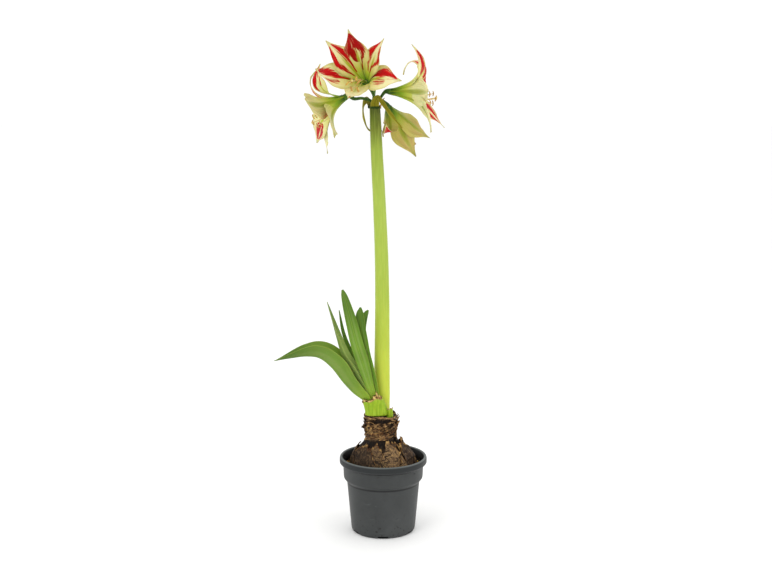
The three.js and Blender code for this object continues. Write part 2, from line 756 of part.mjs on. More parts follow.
// ---------- last bud ----------
// A closed bud on its own stalk behind the front bloom, spindle-shaped, with a beaked tip.
const BUD = {
  foot: [-2.2, 4.4],
  neck: V(-15, 12, 666),
  axis: V(-0.3, 0.8, 0.52),
  length: 68,
  radius: 10.5,
  sides: 10,
  steps: 13,
};

function makeBud() {
  const { foot, neck, length, radius, sides, steps } = BUD;
  const axis = BUD.axis.clone().normalize();
  const start = SCAPE.top.clone().add(V(...foot, STALK.gap));
  const ahead = (d) => neck.clone().addScaledVector(axis, d);
  const risen = start.clone().add(V(0, 0, STALK.rise));
  const path = [start, risen, ahead(-8), neck, ahead(0.35 * length), ahead(length)];
  const girth = through([
    [0, 0.2],
    [0.26, 0.22],
    [0.36, 0.44],
    [0.46, 0.52],
    [0.7, 1],
    [0.88, 0.66],
    [1, 0.08],
  ]);
  return rod(path, (v) => radius * girth(v), sides, steps);
}

// ---------- assembly ----------
const scapeHollow = makeScapeHollow();
add("pot", makePot(), 0x3b4146, 0.75);
add("soil", makeSoil(), 0x1d1712, 0.95);
add("bulb", makeBulb(scapeHollow), 0x5a4030, 0.85);
add("sheath", makeSheath(scapeHollow), 0x8db52e, 0.55);
add("scape", makeScape(), 0x9fc04a, 0.5);
for (const [name, spec] of Object.entries(LEAVES)) add(name, strap(spec, LEAF), 0x5f9636, 0.5);
for (const [name, spec] of Object.entries(BRACTS)) add(name, strap(spec, BRACT), 0x8a7a2c, 0.7);
for (const [name, bloom] of Object.entries(BLOOMS)) {
  add(name, makeBloom(bloom), 0xdcdcae, 0.5);
  add(name.replace("bloom", "stamens"), makeStamens(bloom), 0xe0d27a, 0.5);
}
add("bud", makeBud(), 0xa9b765, 0.5);

export default plant;
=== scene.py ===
# %% [markdown]
# # An amaryllis in bloom, in its nursery pot
# A big bulb stands in peat in a plain moulded pot. It sends up strap leaves on its left and one thick leafless
# flower stem, the scape, which carries four open trumpets and a last closed bud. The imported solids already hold
# every place and size. This file gives them their surface: each piece follows the same rule as its solid, with
# many more faces, and gets a material made of nodes. Points and sizes are in millimetres and become metres
# where a mesh or a curve is made. What a lamp or a node tree is given is in metres.

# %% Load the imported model
import json
import math

import bpy
import numpy as np
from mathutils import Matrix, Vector, noise

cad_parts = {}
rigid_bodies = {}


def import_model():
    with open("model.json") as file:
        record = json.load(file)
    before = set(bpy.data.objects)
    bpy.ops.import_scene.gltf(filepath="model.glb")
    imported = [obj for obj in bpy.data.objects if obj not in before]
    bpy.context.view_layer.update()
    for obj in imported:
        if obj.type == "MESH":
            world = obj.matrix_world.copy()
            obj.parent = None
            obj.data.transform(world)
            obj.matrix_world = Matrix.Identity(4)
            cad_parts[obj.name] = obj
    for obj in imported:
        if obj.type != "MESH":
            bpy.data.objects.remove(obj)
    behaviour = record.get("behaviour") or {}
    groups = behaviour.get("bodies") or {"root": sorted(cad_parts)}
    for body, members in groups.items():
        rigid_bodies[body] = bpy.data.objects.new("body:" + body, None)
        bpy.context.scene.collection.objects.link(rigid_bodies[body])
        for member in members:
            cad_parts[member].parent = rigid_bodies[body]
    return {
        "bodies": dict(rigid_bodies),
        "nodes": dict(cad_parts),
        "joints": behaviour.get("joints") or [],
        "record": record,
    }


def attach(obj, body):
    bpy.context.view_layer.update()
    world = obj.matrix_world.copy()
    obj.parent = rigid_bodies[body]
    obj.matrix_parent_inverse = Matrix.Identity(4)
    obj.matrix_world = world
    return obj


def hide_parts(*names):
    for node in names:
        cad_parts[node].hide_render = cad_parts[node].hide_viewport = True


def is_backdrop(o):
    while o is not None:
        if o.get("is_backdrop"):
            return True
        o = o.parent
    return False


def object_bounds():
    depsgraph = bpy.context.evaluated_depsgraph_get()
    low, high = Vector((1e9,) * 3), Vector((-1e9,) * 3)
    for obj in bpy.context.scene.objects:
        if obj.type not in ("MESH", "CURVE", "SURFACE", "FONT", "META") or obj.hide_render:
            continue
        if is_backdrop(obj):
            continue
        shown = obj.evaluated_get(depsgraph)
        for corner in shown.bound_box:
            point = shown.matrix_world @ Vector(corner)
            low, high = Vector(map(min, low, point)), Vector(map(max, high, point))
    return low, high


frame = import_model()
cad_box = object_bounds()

MM = 0.001
scene = bpy.context.scene
print("nodes:", ", ".join(sorted(frame["nodes"])))


def added(name, data):
    """A new object with that data, linked into the scene."""
    made = bpy.data.objects.new(name, data)
    scene.collection.objects.link(made)
    return made


# %% [markdown]
# ## The camera and the stage
# A long lens from almost two metres away keeps the tall plant free of distortion, and a slight look down opens
# the rim of the pot. The floor is one pale sheet, and the light is a big soft window on the left, a weaker one
# on the right and a pale room all round, so that thin petals stay bright on both faces.

# %% Camera
LENS, SENSOR, LOOK_DOWN = 55.87, 36, 9  # two in millimetres, and degrees
EYE = Vector((4.2, -1750, 646)) * MM

camera = added("camera", bpy.data.cameras.new("camera"))
camera.data.lens, camera.data.sensor_width = LENS, SENSOR
camera.location = EYE
camera.rotation_euler = (math.radians(90 - LOOK_DOWN), 0, 0)
scene.camera = camera
print("camera", LENS, "mm,", LOOK_DOWN, "degrees down")


# %% Node helpers
def node(tree, kind, inputs=(), **settings):
    """A new node with its settings, and with its inputs linked or set."""
    made = tree.nodes.new(kind)
    for key, value in settings.items():
        setattr(made, key, value)
    for key, value in dict(inputs).items():
        if isinstance(value, bpy.types.NodeSocket):
            tree.links.new(value, made.inputs[key])
        else:
            made.inputs[key].default_value = value
    return made


def geo(tree, kind, **inputs):
    """The first output of a new geometry node, with its inputs linked or set."""
    inputs = {key.replace("_", " "): value for key, value in inputs.items()}
    return node(tree, "GeometryNode" + kind, inputs).outputs[0]


def number(tree, operation, *values):
    return node(tree, "ShaderNodeMath", enumerate(values), operation=operation).outputs[0]


def times(tree, product, *factors):
    for factor in factors:
        product = number(tree, "MULTIPLY", product, factor)
    return product


def away(tree, value, middle):
    """How far a value lies from a middle one, on either side."""
    return number(tree, "ABSOLUTE", number(tree, "SUBTRACT", value, middle))


def vector(tree, operation, *values):
    made = node(tree, "ShaderNodeVectorMath", enumerate(values), operation=operation)
    return made.outputs["Value" if operation in ("DOT_PRODUCT", "LENGTH") else "Vector"]


def scaled(tree, direction, amount):
    inputs = {"Vector": direction, "Scale": amount}
    return node(tree, "ShaderNodeVectorMath", inputs, operation="SCALE").outputs["Vector"]


def joined(tree, *values):
    return node(tree, "ShaderNodeCombineXYZ", enumerate(values)).outputs[0]


def parts(tree, place):
    return node(tree, "ShaderNodeSeparateXYZ", {0: place}).outputs


# %% Colour helpers
def colour(code):
    """The linear colour of a #rrggbb code."""
    shares = [int(code[k : k + 2], 16) / 255 for k in (1, 3, 5)]
    return (*(c / 12.92 if c <= 0.04045 else ((c + 0.055) / 1.055) ** 2.4 for c in shares), 1)


def ramp(tree, value, *stops):
    """A colour for each value, through (position, colour code) stops."""
    made = node(tree, "ShaderNodeValToRGB", {"Fac": value})
    elements = made.color_ramp.elements
    while len(elements) < len(stops):
        elements.new(0.5)
    for element, (position, code) in zip(elements, stops):
        element.position = position
        element.color = colour(code)
    return made.outputs["Color"]


def mixed(tree, share, *colours):
    first, second = (colour(c) if isinstance(c, str) else c for c in colours)
    return node(tree, "ShaderNodeMix", {0: share, 6: first, 7: second}, data_type="RGBA").outputs[2]


def remap(tree, value, low, high, to_low=0.0, to_high=1.0):
    inputs = {"Value": value, "From Min": low, "From Max": high, "To Min": to_low, "To Max": to_high}
    return node(tree, "ShaderNodeMapRange", inputs, interpolation_type="SMOOTHSTEP").outputs[0]


def layered(tree, base, *layers):
    """A base colour under layers: each is a colour, a signal, where that starts and ends, and a share."""
    for code, value, low, high, *share in layers:
        base = mixed(tree, remap(tree, value, low, high, 0.0, *share), base, code)
    return base


def object_place(tree, *stretch):
    """Object coordinates in metres, stretched by a factor along each axis."""
    place = node(tree, "ShaderNodeTexCoord").outputs["Object"]
    return node(tree, "ShaderNodeMapping", {"Vector": place, "Scale": stretch or (1, 1, 1)}).outputs[0]


def sheet_place(tree, *stretch):
    """The sheet's own UV map, stretched across and along."""
    place = node(tree, "ShaderNodeUVMap", uv_map="UVMap").outputs[0]
    return node(tree, "ShaderNodeMapping", {"Vector": place, "Scale": (*(stretch or (1, 1)), 1)}).outputs[0]


def grain(tree, place, scale, detail=4.0, rough=0.55, distortion=0.0):
    """Noise on a sheet's place, or on Object coordinates where place is only their stretch."""
    if isinstance(place, tuple):
        place = object_place(tree, *place)
    inputs = {"Vector": place, "Scale": scale, "Detail": detail, "Roughness": rough, "Distortion": distortion}
    return node(tree, "ShaderNodeTexNoise", inputs).outputs[0]


def blade(tree):
    """The place along a sheet, and how far from its middle line it is."""
    across, along, _ = parts(tree, sheet_place(tree))
    return along, away(tree, across, 0.5)


def marked(tree, name):
    """A number that each point of the mesh carries."""
    return node(tree, "ShaderNodeAttribute", attribute_name=name).outputs["Fac"]


# %% Finishes
def finish(name, roughness, shine=0.5, glow=None, sheen=0.0):
    """A new material with its node tree and its surface shader. Glow is how much light passes under the
    surface, and how many millimetres deep."""
    made = bpy.data.materials.new(name)
    made.use_nodes = True
    shader = made.node_tree.nodes["Principled BSDF"]
    values = {"Roughness": roughness, "Specular IOR Level": shine, "Sheen Weight": sheen}
    if glow:
        values |= {"Subsurface Weight": glow[0], "Subsurface Scale": glow[1] * MM}
    for key, value in values.items():
        shader.inputs[key].default_value = value
    return made, made.node_tree, shader


def paint(tree, shader, base, height=None, depth=0.0, roughness=None):
    """Links the colour, relief that is depth millimetres deep, and a roughness that varies."""
    tree.links.new(base, shader.inputs["Base Color"])
    if height is not None:
        bump = node(tree, "ShaderNodeBump", {"Height": height, "Distance": depth * MM, "Strength": 1.0})
        tree.links.new(bump.outputs[0], shader.inputs["Normal"])
    if roughness is not None:
        tree.links.new(roughness, shader.inputs["Roughness"])


def grained(name, roughness, shine, fine, stops, *layers, depth, by="fine", **light):
    """A whole finish of one fine grain: a ramp that follows the grain or a mark, layers over it, and relief. A
    signal is "fine", the name of a mark, or a further grain: its stretch and then its noise."""
    made, tree, shader = finish(name, roughness, shine, **light)
    sources = {"fine": grain(tree, *fine)}

    def signal(key):
        if isinstance(key, tuple):
            return grain(tree, *key)
        return sources[key] if key in sources else marked(tree, key)

    base = ramp(tree, signal(by), *stops)
    base = layered(tree, base, *((code, signal(key), *rest) for code, key, *rest in layers))
    paint(tree, shader, base, sources["fine"], depth)
    return made


# %% Floor, room and lamps
FLOOR_HALF = 30.0
ROOM_LIGHT = 1.05
MIDDLE = (0, 0, 0.42)


def lamp(name, place, target, size, watts):
    """A square soft lamp that looks at its target."""
    made = added(name, bpy.data.lights.new(name, "AREA"))
    made.data.size, made.data.energy = size, watts
    made.location = place
    made.rotation_euler = (Vector(target) - Vector(place)).to_track_quat("-Z", "Y").to_euler()


floor_paint, floor_tree, floor_shader = finish("pale floor", 0.9)
speckle = grain(floor_tree, (), 3.0)
paint(floor_tree, floor_shader, ramp(floor_tree, speckle, (0.3, "#fafaf9"), (0.7, "#fdfdfc")))
floor_mesh = bpy.data.meshes.new("floor")
floor_corners = [(x * FLOOR_HALF, y * FLOOR_HALF, 0) for x, y in ((-1, -1), (1, -1), (1, 1), (-1, 1))]
floor_mesh.from_pydata(floor_corners, [], [(0, 1, 2, 3)])
floor_mesh.materials.append(floor_paint)
added("floor", floor_mesh)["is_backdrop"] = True

room = bpy.data.worlds.new("room")
room.use_nodes = True
room.node_tree.nodes["Background"].inputs["Color"].default_value = colour("#ffffff")
room.node_tree.nodes["Background"].inputs["Strength"].default_value = ROOM_LIGHT
scene.world = room
scene.view_settings.view_transform = "Standard"

lamp("window", (-1.3, -1.9, 1.9), MIDDLE, 1.3, 16)
lamp("fill", (1.9, -0.9, 1.1), MIDDLE, 1.6, 8)
lamp("back light", (0.7, 1.7, 1.8), (0, 0, 0.6), 1.2, 4)
print("stage ready")

# %% [markdown]
# ## Curves, sheets and meshes
# Most of a plant is drawn in three strokes: where the middle of a blade runs, how wide it is along the
# way, and how it folds. The helpers here turn a few given points into smooth curves, and a grid of points
# into a closed thin sheet with its own UV map, across and along. A material then paints veins along the petal
# however it bends.


# %% Smooth values and smooth paths
def smooth(t):
    c = np.clip(t, 0.0, 1.0)
    return c * c * (3 - 2 * c)


def mix(a, b, t):
    return a + (b - a) * t


def through(pairs):
    """A smooth curve through (position, value) pairs that stays flat past both ends."""
    x, y = np.array(pairs, float).T
    slope = np.empty_like(y)
    slope[1:-1] = (y[2:] - y[:-2]) / (x[2:] - x[:-2])
    slope[0] = (y[1] - y[0]) / (x[1] - x[0])
    slope[-1] = (y[-1] - y[-2]) / (x[-1] - x[-2])

    def value(t):
        t = np.clip(t, x[0], x[-1])
        i = np.clip(np.searchsorted(x, t) - 1, 0, len(x) - 2)
        h = x[i + 1] - x[i]
        s = (t - x[i]) / h
        rise = (3 - 2 * s) * s * s
        ends = y[i] * (1 - rise) + y[i + 1] * rise
        return ends + h * s * (1 - s) * ((1 - s) * slope[i] - s * slope[i + 1])

    return value


PATH_STEPS = 40  # between two given points, before the points are spaced evenly


def path(points, steps):
    """steps + 1 evenly spaced points of the smooth path through the given ones."""
    given = np.array(points, float)
    padded = np.vstack([2 * given[0] - given[1], given, 2 * given[-1] - given[-2]])
    t = np.linspace(0, 1, PATH_STEPS, endpoint=False)[:, None]
    dense = []
    for a, b, c, d in zip(padded, padded[1:], padded[2:], padded[3:]):
        ab, bc, cd = (math.sqrt(np.linalg.norm(q - p)) for p, q in ((a, b), (b, c), (c, d)))
        leave = ((b - a) / ab - (c - a) / (ab + bc) + (c - b) / bc) * bc
        arrive = ((c - b) / bc - (d - b) / (bc + cd) + (d - c) / cd) * bc
        rise = (3 - 2 * t) * t * t
        dense.append(b * (1 - rise) + c * rise + t * (1 - t) * ((1 - t) * leave - t * arrive))
    dense = np.vstack([*dense, given[-1:]])
    length = np.append(0, np.cumsum(np.linalg.norm(np.diff(dense, axis=0), axis=1)))
    even = np.linspace(0, length[-1], steps + 1)
    return np.stack([np.interp(even, length, dense[:, k]) for k in range(3)], axis=1)


def circle(sides):
    return 2 * math.pi * np.arange(sides) / sides


def unit(v):
    v = np.array(v, float)
    return v / np.linalg.norm(v)


# %% Meshes from grids of points
def link(name, mesh, material):
    mesh.materials.clear()
    mesh.materials.append(material)
    mesh.shade_smooth()
    return added(name, mesh)


def piece(name, points, faces, material, uv=None, **marks):
    """A mesh object from points in millimetres, with its UV map and a number on each point for each mark."""
    mesh = bpy.data.meshes.new(name)
    corners_of = [tuple(int(corner) for corner in face) for face in faces]
    mesh.from_pydata((np.asarray(points) * MM).tolist(), [], corners_of)
    if uv is not None:
        corners = np.empty(len(mesh.loops), np.int32)
        mesh.loops.foreach_get("vertex_index", corners)
        mesh.uv_layers.new(name="UVMap").data.foreach_set("uv", np.asarray(uv, np.float32)[corners].ravel())
    for key, value in marks.items():
        mesh.attributes.new(key, "FLOAT", "POINT").data.foreach_set("value", np.asarray(value, np.float32))
    return link(name, mesh, material)


def sheet(front, back, **marks):
    """A closed sheet: a front grid of points, a back grid behind it, and the edge between. A mark is a grid of
    numbers, or what numpy spreads over one."""
    shape = front.shape[:2]
    under = shape[0] * shape[1]
    grid = np.arange(under).reshape(shape)
    quads = np.stack([grid[:-1, :-1], grid[:-1, 1:], grid[1:, 1:], grid[1:, :-1]], axis=-1).reshape(-1, 4)
    rim = np.concatenate([grid[0, :-1], grid[:-1, -1], grid[-1, :0:-1], grid[:0:-1, 0]])
    after = np.roll(rim, -1)
    edge = np.stack([after, rim, rim + under, after + under], axis=-1)
    made = {key: np.tile(np.broadcast_to(value, shape).ravel(), 2) for key, value in marks.items()}
    made["points"] = np.concatenate([front.reshape(-1, 3), back.reshape(-1, 3)])
    made["faces"] = np.concatenate([quads, (quads + under)[:, ::-1], edge])
    return made


def gathered(sheets):
    """Several sheets as one: their points, faces, UVs and marks put end to end."""
    counts = np.cumsum([0] + [len(each["points"]) for each in sheets[:-1]])
    moved = [each | {"faces": each["faces"] + first} for each, first in zip(sheets, counts)]
    return {key: np.concatenate([each[key] for each in moved]) for key in sheets[0]}


def ring_faces(rows, sides):
    """The faces through rows of rings, closed at both ends on two further points."""
    grid = np.arange(rows * sides).reshape(rows, sides)
    ahead = np.roll(grid, -1, axis=1)
    quads = np.stack([grid[:-1], ahead[:-1], ahead[1:], grid[1:]], axis=-1).reshape(-1, 4).tolist()
    first_cap = [(grid.size, b, a) for a, b in zip(grid[0], ahead[0])]
    return quads + first_cap + [(grid.size + 1, a, b) for a, b in zip(grid[-1], ahead[-1])]


def turned(profile, sides):
    """The points and faces of a profile of (radius, height) that starts and ends on the axis."""
    ring = circle(sides)
    rings = [np.stack([r * np.cos(ring), r * np.sin(ring), 0 * ring + z], axis=1) for r, z in profile[1:-1]]
    return np.vstack([*rings, (0, 0, profile[0][1]), (0, 0, profile[-1][1])]), ring_faces(len(rings), sides)


def swept(name, rings, ends, material, **marks):
    """A closed piece through rows of rings, with a point in the middle of each end."""
    points = np.vstack([np.reshape(rings, (-1, 3)), ends])
    return piece(name, points, ring_faces(*np.shape(rings)[:2]), material, **marks)


def dress(made, slot, *nodes):
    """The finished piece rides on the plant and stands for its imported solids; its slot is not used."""
    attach(made, "root")
    if nodes:
        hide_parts(*nodes)
    print(f"{made.name}: {len(made.data.polygons)} faces")


# %% [markdown]
# ## Two rules, written as Geometry Nodes
# A stem is a circle carried along a path, so one small tree makes the scape, every flower stalk and every
# filament: the curve's own radius says how thick the stem is at each point.
#
# A strap leaf is a flattened tube. The second tree starts from a plain cylinder of unit size and moves each of
# its points: across becomes the distance from the keel, up becomes the place along the leaf. The curve carries
# the leaf's half-width as its radius and the opening of its fold as its tilt.

# %% Trees: how one starts, ends and runs
SOCKET_KINDS = {int: "Int", float: "Float", tuple: "Vector"}


def start_tree(name, **inputs):
    """An empty tree with its named inputs, each of the kind that its default has."""
    tree = bpy.data.node_groups.new(name, "GeometryNodeTree")

    def add(label, kind, way="INPUT"):
        return tree.interface.new_socket(label, in_out=way, socket_type="NodeSocket" + kind)

    add("Geometry", "Geometry")
    for key, default in inputs.items():
        add(key.replace("_", " "), SOCKET_KINDS[type(default)]).default_value = default
    add("Material", "Material")
    add("Geometry", "Geometry", "OUTPUT")
    return tree, node(tree, "NodeGroupInput").outputs


def end_tree(tree, geometry, material):
    real = geo(tree, "RealizeInstances", Geometry=geometry)
    node(tree, "NodeGroupOutput", {0: geo(tree, "SetMaterial", Geometry=real, Material=material)})
    print(f"{tree.name}: {len(tree.nodes)} nodes")
    return tree


def stored(tree, geometry, name, value, kind="FLOAT", domain="POINT"):
    inputs = {"Geometry": geometry, "Name": name, "Value": value}
    return node(tree, "GeometryNodeStoreNamedAttribute", inputs, data_type=kind, domain=domain).outputs[0]


def grow(name, seed_object, tree, material, **values):
    """Runs a tree on an object and keeps the result as a plain mesh object; the seed object goes."""
    modifier = seed_object.modifiers.new("tree", "NODES")
    modifier.node_group = tree
    values = {key.replace("_", " "): value for key, value in values.items()} | {"Material": material}
    for item in tree.interface.items_tree:
        if item.item_type == "SOCKET" and item.in_out == "INPUT" and item.name in values:
            modifier[item.identifier] = values[item.name]
    grown = seed_object.evaluated_get(bpy.context.evaluated_depsgraph_get())
    mesh = bpy.data.meshes.new_from_object(grown)
    mesh.name = name
    bpy.data.objects.remove(seed_object)
    return link(name, mesh, material)


def drawn(strokes):
    """A curve object of one poly line for each stroke: points and radii in millimetres, tilts in degrees."""
    data = bpy.data.curves.new("drawn", "CURVE")
    data.dimensions = "3D"
    for points, radii, tilts in strokes:
        count = len(points)
        line = data.splines.new("POLY")
        line.points.add(count - 1)
        line.points.foreach_set("co", np.hstack([points * MM, np.ones((count, 1))]).ravel())
        line.points.foreach_set("radius", np.broadcast_to(radii, count) * MM)
        line.points.foreach_set("tilt", np.radians(np.broadcast_to(tilts, count)))
    return added("drawn", data)


# %% The stem tree
def make_stem_tree():
    tree, given = start_tree("stem along a path", Sides=24, Unevenness=0.0)
    line = stored(tree, given["Geometry"], "along", geo(tree, "SplineParameter"))
    ring = geo(tree, "CurvePrimitiveCircle", Resolution=given["Sides"], Radius=1.0)
    width = geo(tree, "InputRadius")
    stem = geo(tree, "CurveToMesh", Curve=line, Profile_Curve=ring, Scale=width, Fill_Caps=True)
    bumps = node(tree, "ShaderNodeTexNoise", {"Scale": 60.0, "Detail": 2.0}).outputs[0]
    swell = times(tree, number(tree, "SUBTRACT", bumps, 0.5), given["Unevenness"])
    stem = geo(tree, "SetPosition", Geometry=stem, Offset=scaled(tree, geo(tree, "InputNormal"), swell))
    return end_tree(tree, stem, given["Material"])


stem_tree = make_stem_tree()


# %% The strap tree
def make_strap_tree():
    front = (0, -1, 0)
    tree, given = start_tree(
        "keeled strap", Around=48, Steps=120, Keel=0.003, Foot_thickness=0.0013, Tip_thickness=0.0009,
        Foot_faces=front, Tip_faces=front, Margin_wave=0.0, Tone=0.5,
    )
    size = {"Vertices": given["Around"], "Side Segments": given["Steps"], "Radius": 1.0, "Depth": 1.0}
    tube = node(tree, "GeometryNodeMeshCylinder", size, fill_type="TRIANGLE_FAN").outputs["Mesh"]
    across, lift, height = parts(tree, geo(tree, "InputPosition"))
    along = number(tree, "ADD", height, 0.5)
    tube = stored(tree, tube, "inside", number(tree, "GREATER_THAN", lift, 0.0))
    tube = stored(tree, tube, "tone", given["Tone"])
    flat = joined(tree, number(tree, "MULTIPLY_ADD", across, 0.5, 0.5), along)
    tube = stored(tree, tube, "UVMap", flat, "FLOAT2", "CORNER")

    def sampled(value):
        inputs = {"Curves": given["Geometry"], "Value": value, "Factor": along}
        return node(tree, "GeometryNodeSampleCurve", inputs, mode="FACTOR", use_all_curves=True).outputs

    width = sampled(geo(tree, "InputRadius"))
    fold = sampled(geo(tree, "InputCurveTilt"))["Value"]
    tangent = width["Tangent"]
    faces = {0: along, 4: given["Foot faces"], 5: given["Tip faces"]}
    hollow = node(tree, "ShaderNodeMix", faces, data_type="VECTOR").outputs[1]
    leaning = scaled(tree, tangent, vector(tree, "DOT_PRODUCT", hollow, tangent))
    hollow = vector(tree, "NORMALIZE", vector(tree, "SUBTRACT", hollow, leaning))
    side = vector(tree, "CROSS_PRODUCT", tangent, hollow)

    reach, keel = times(tree, across, width["Value"]), given["Keel"]
    bend = number(tree, "SQRT", number(tree, "ADD", times(tree, reach, reach), times(tree, keel, keel)))
    sine, cosine = number(tree, "SINE", fold), number(tree, "COSINE", fold)
    slope = times(tree, number(tree, "DIVIDE", reach, bend), cosine)
    normal = vector(tree, "SUBTRACT", scaled(tree, hollow, sine), scaled(tree, side, slope))
    rounded = number(tree, "POWER", number(tree, "ABSOLUTE", lift), 0.6)
    rounded = times(tree, number(tree, "SIGN", lift), rounded)
    thickness = node(tree, "ShaderNodeMix", {0: along, 2: given["Foot thickness"], 3: given["Tip thickness"]})
    phase = number(tree, "MULTIPLY_ADD", along, 23.0, times(tree, across, 1.7))
    ripple = times(tree, number(tree, "SINE", phase), times(tree, across, across), given["Margin wave"])
    skin = number(tree, "ADD", times(tree, thickness.outputs[0], 0.5, rounded), ripple)

    at = vector(tree, "ADD", width["Position"], scaled(tree, side, times(tree, reach, sine)))
    rise = times(tree, number(tree, "SUBTRACT", bend, keel), cosine)
    at = vector(tree, "ADD", at, scaled(tree, hollow, rise))
    at = vector(tree, "ADD", at, scaled(tree, vector(tree, "NORMALIZE", normal), skin))
    return end_tree(tree, geo(tree, "SetPosition", Geometry=tube, Position=at), given["Material"])


strap_tree = make_strap_tree()

# %% [markdown]
# ## The pot
# A 13 cm nursery pot is injection moulded: a thin wall, a rolled lip, a wide collar, a step, a taper and a
# rounded foot with drainage slots cut through its corner. Turned work is a profile swept round an axis. The six
# slots repeat, so a tree places one block on each point of a ring and cuts them all away at once.

# %% Pot profile
# Each corner is (radius, height, rounding): up the outside from the middle of the base, over the lip, and down
# the inside. Each band is painted light round the pot: painted shade under the step below the collar, under
# the lip and on the lip's outer face, and a painted highlight along the top of the lip. A band gives its lowest
# and highest place from the top, its colour and its strength.
POT_HEIGHT, WALL, BASE, POT_SIDES = 115.5, 1.4, 2.0, 144
LIP, COLLAR, BODY, FOOT = 65.8, 59.8, 54.8, 44.8  # outer radii
POT_CORNERS = [
    (0, 0, 0), (FOOT, 0, 0.8), (FOOT + 2.6, 1.6, 1.2), (FOOT + 3.7, 5, 3), (BODY, 76, 0.6),
    (BODY + 0.6, 77.5, 0.7), (COLLAR - 0.6, 82, 1.2), (COLLAR, 84, 1.4), (COLLAR + 0.8, POT_HEIGHT - 13, 0.8),
    (LIP - 1.2, POT_HEIGHT - 11, 1.0), (LIP, POT_HEIGHT - 9.5, 0.8), (LIP, POT_HEIGHT - 2.5, 2.0),
    (LIP - 1.5, POT_HEIGHT, 1.2), (LIP - 4, POT_HEIGHT - 0.6, 1.2),
    (COLLAR + 0.8 - WALL, POT_HEIGHT - 10, 1.5), (COLLAR - WALL, 84, 1), (BODY - WALL, 76.5, 1),
    (FOOT + 3.7 - WALL, 6, 2), (FOOT - WALL, BASE, 1), (0, BASE, 0),
]
PAINTED_LIGHT_BANDS = [
    (-41, -38.2, "#101112", 0.8), (-13.5, -10.5, "#101112", 0.75), (-9.5, -2.6, "#1f2223", 0.85),
    (-1.8, -0.4, "#6f7573", 0.5),
]
BAND_BLUR = 0.8
SHARP_EDGE = 40  # degrees


def rounded_profile(corners, steps=4):
    """Each corner becomes a short curve that starts and ends on its two sides."""
    at = np.array([corner[:2] for corner in corners], float)
    made = [at[:1]]
    t = np.linspace(0, 1, steps + 1)[:, None]
    for (before, corner, after), (*_, rounding) in zip(zip(at, at[1:], at[2:]), corners[1:]):
        sides = [before - corner, after - corner]
        starts = [s * min(0.45, rounding / np.linalg.norm(s)) + corner for s in sides]
        made.append((1 - t) ** 2 * starts[0] + 2 * t * (1 - t) * corner + t**2 * starts[1])
    return np.vstack([*made, at[-1:]])


# %% Pot plastic
def make_pot_plastic():
    made, tree, shader = finish("pot plastic", 0.5, 0.22)
    high = parts(tree, object_place(tree))[2]
    cloud = grain(tree, (), 14.0, 5, 0.6)
    scuff = grain(tree, (1, 1, 7), 55.0, 6, 0.65, 0.6)
    crumb = grain(tree, (), 210.0, 2, 0.5)
    base = ramp(tree, cloud, (0.3, "#333535"), (0.55, "#3d3f3f"), (0.8, "#494b4b"))
    base = layered(tree, base, ("#66696a", scuff, 0.62, 0.72, 0.3))
    low = number(tree, "MULTIPLY_ADD", remap(tree, high, 0.045, 0.0), 0.8, 0.08)
    base = mixed(tree, times(tree, remap(tree, crumb, 0.6, 0.7), low), base, "#1d1916")
    # Painted shade in bands under the collar's step, under the lip and on its face, and a painted highlight on
    # its top.
    for lowest, highest, code, share in PAINTED_LIGHT_BANDS:
        rise, fall = (
            remap(tree, high, (POT_HEIGHT + z) * MM, (POT_HEIGHT + z + BAND_BLUR) * MM, *span)
            for z, span in ((lowest, (0, 1)), (highest, (1, 0)))
        )
        base = mixed(tree, times(tree, rise, fall, share), base, code)
    # Painted shade: the inside of the pot below the lip is darkened towards black.
    spot = node(tree, "ShaderNodeTexCoord").outputs
    outward = vector(tree, "DOT_PRODUCT", vector(tree, "MULTIPLY", spot["Object"], (1, 1, 0)), spot["Normal"])
    painted_inner_shade = times(tree, remap(tree, outward, -0.005, -0.015), remap(tree, high, 0.1145, 0.112), 0.85)
    skin = number(tree, "MULTIPLY_ADD", grain(tree, (), 900.0, 3), 0.4, cloud)
    roughness = remap(tree, cloud, 0.3, 0.8, 0.42, 0.62)
    paint(tree, shader, mixed(tree, painted_inner_shade, base, "#0c0c0c"), skin, 0.12, roughness)
    return made


# %% The slot tree
def make_slot_tree():
    tree, given = start_tree(
        "drainage slots", Count=6, Ring_radius=0.0443, Block=(0.009, 0.015, 0.0034), Height=0.0024
    )
    ring = geo(tree, "MeshCircle", Vertices=given["Count"], Radius=given["Ring radius"])
    step = number(tree, "DIVIDE", 2 * math.pi, given["Count"])
    facing = joined(tree, 0, 0, times(tree, geo(tree, "InputIndex"), step))
    block = geo(tree, "MeshCube", Size=given["Block"])
    blocks = geo(tree, "InstanceOnPoints", Points=ring, Instance=block, Rotation=facing)
    lift, spin = joined(tree, 0, 0, given["Height"]), joined(tree, 0, 0, times(tree, step, 0.5))
    blocks = geo(tree, "Transform", Geometry=blocks, Translation=lift, Rotation=spin)
    inputs = {"Mesh 1": given["Geometry"], "Mesh 2": geo(tree, "RealizeInstances", Geometry=blocks)}
    cut = node(tree, "GeometryNodeMeshBoolean", inputs, operation="DIFFERENCE", solver="EXACT")
    return end_tree(tree, cut.outputs["Mesh"], given["Material"])


# %% The pot itself
pot_plastic = make_pot_plastic()
blank_pot = piece("blank pot", *turned(rounded_profile(POT_CORNERS), POT_SIDES), pot_plastic)
pot = grow("pot_shell", blank_pot, make_slot_tree(), pot_plastic, Count=6)
pot.data.set_sharp_from_angle(angle=math.radians(SHARP_EDGE))
dress(pot, "pot", "pot")

# %% [markdown]
# ## The peat
# Peat fills the pot to a finger below the lip. Its body is turned like the pot and its top is pushed up and
# down by noise. Loose crumbs and bits of fibre lie on it: a scatter tree drops instances on the top faces,
# turned and sized at random from a fixed seed, which costs a few dozen faces for each crumb.

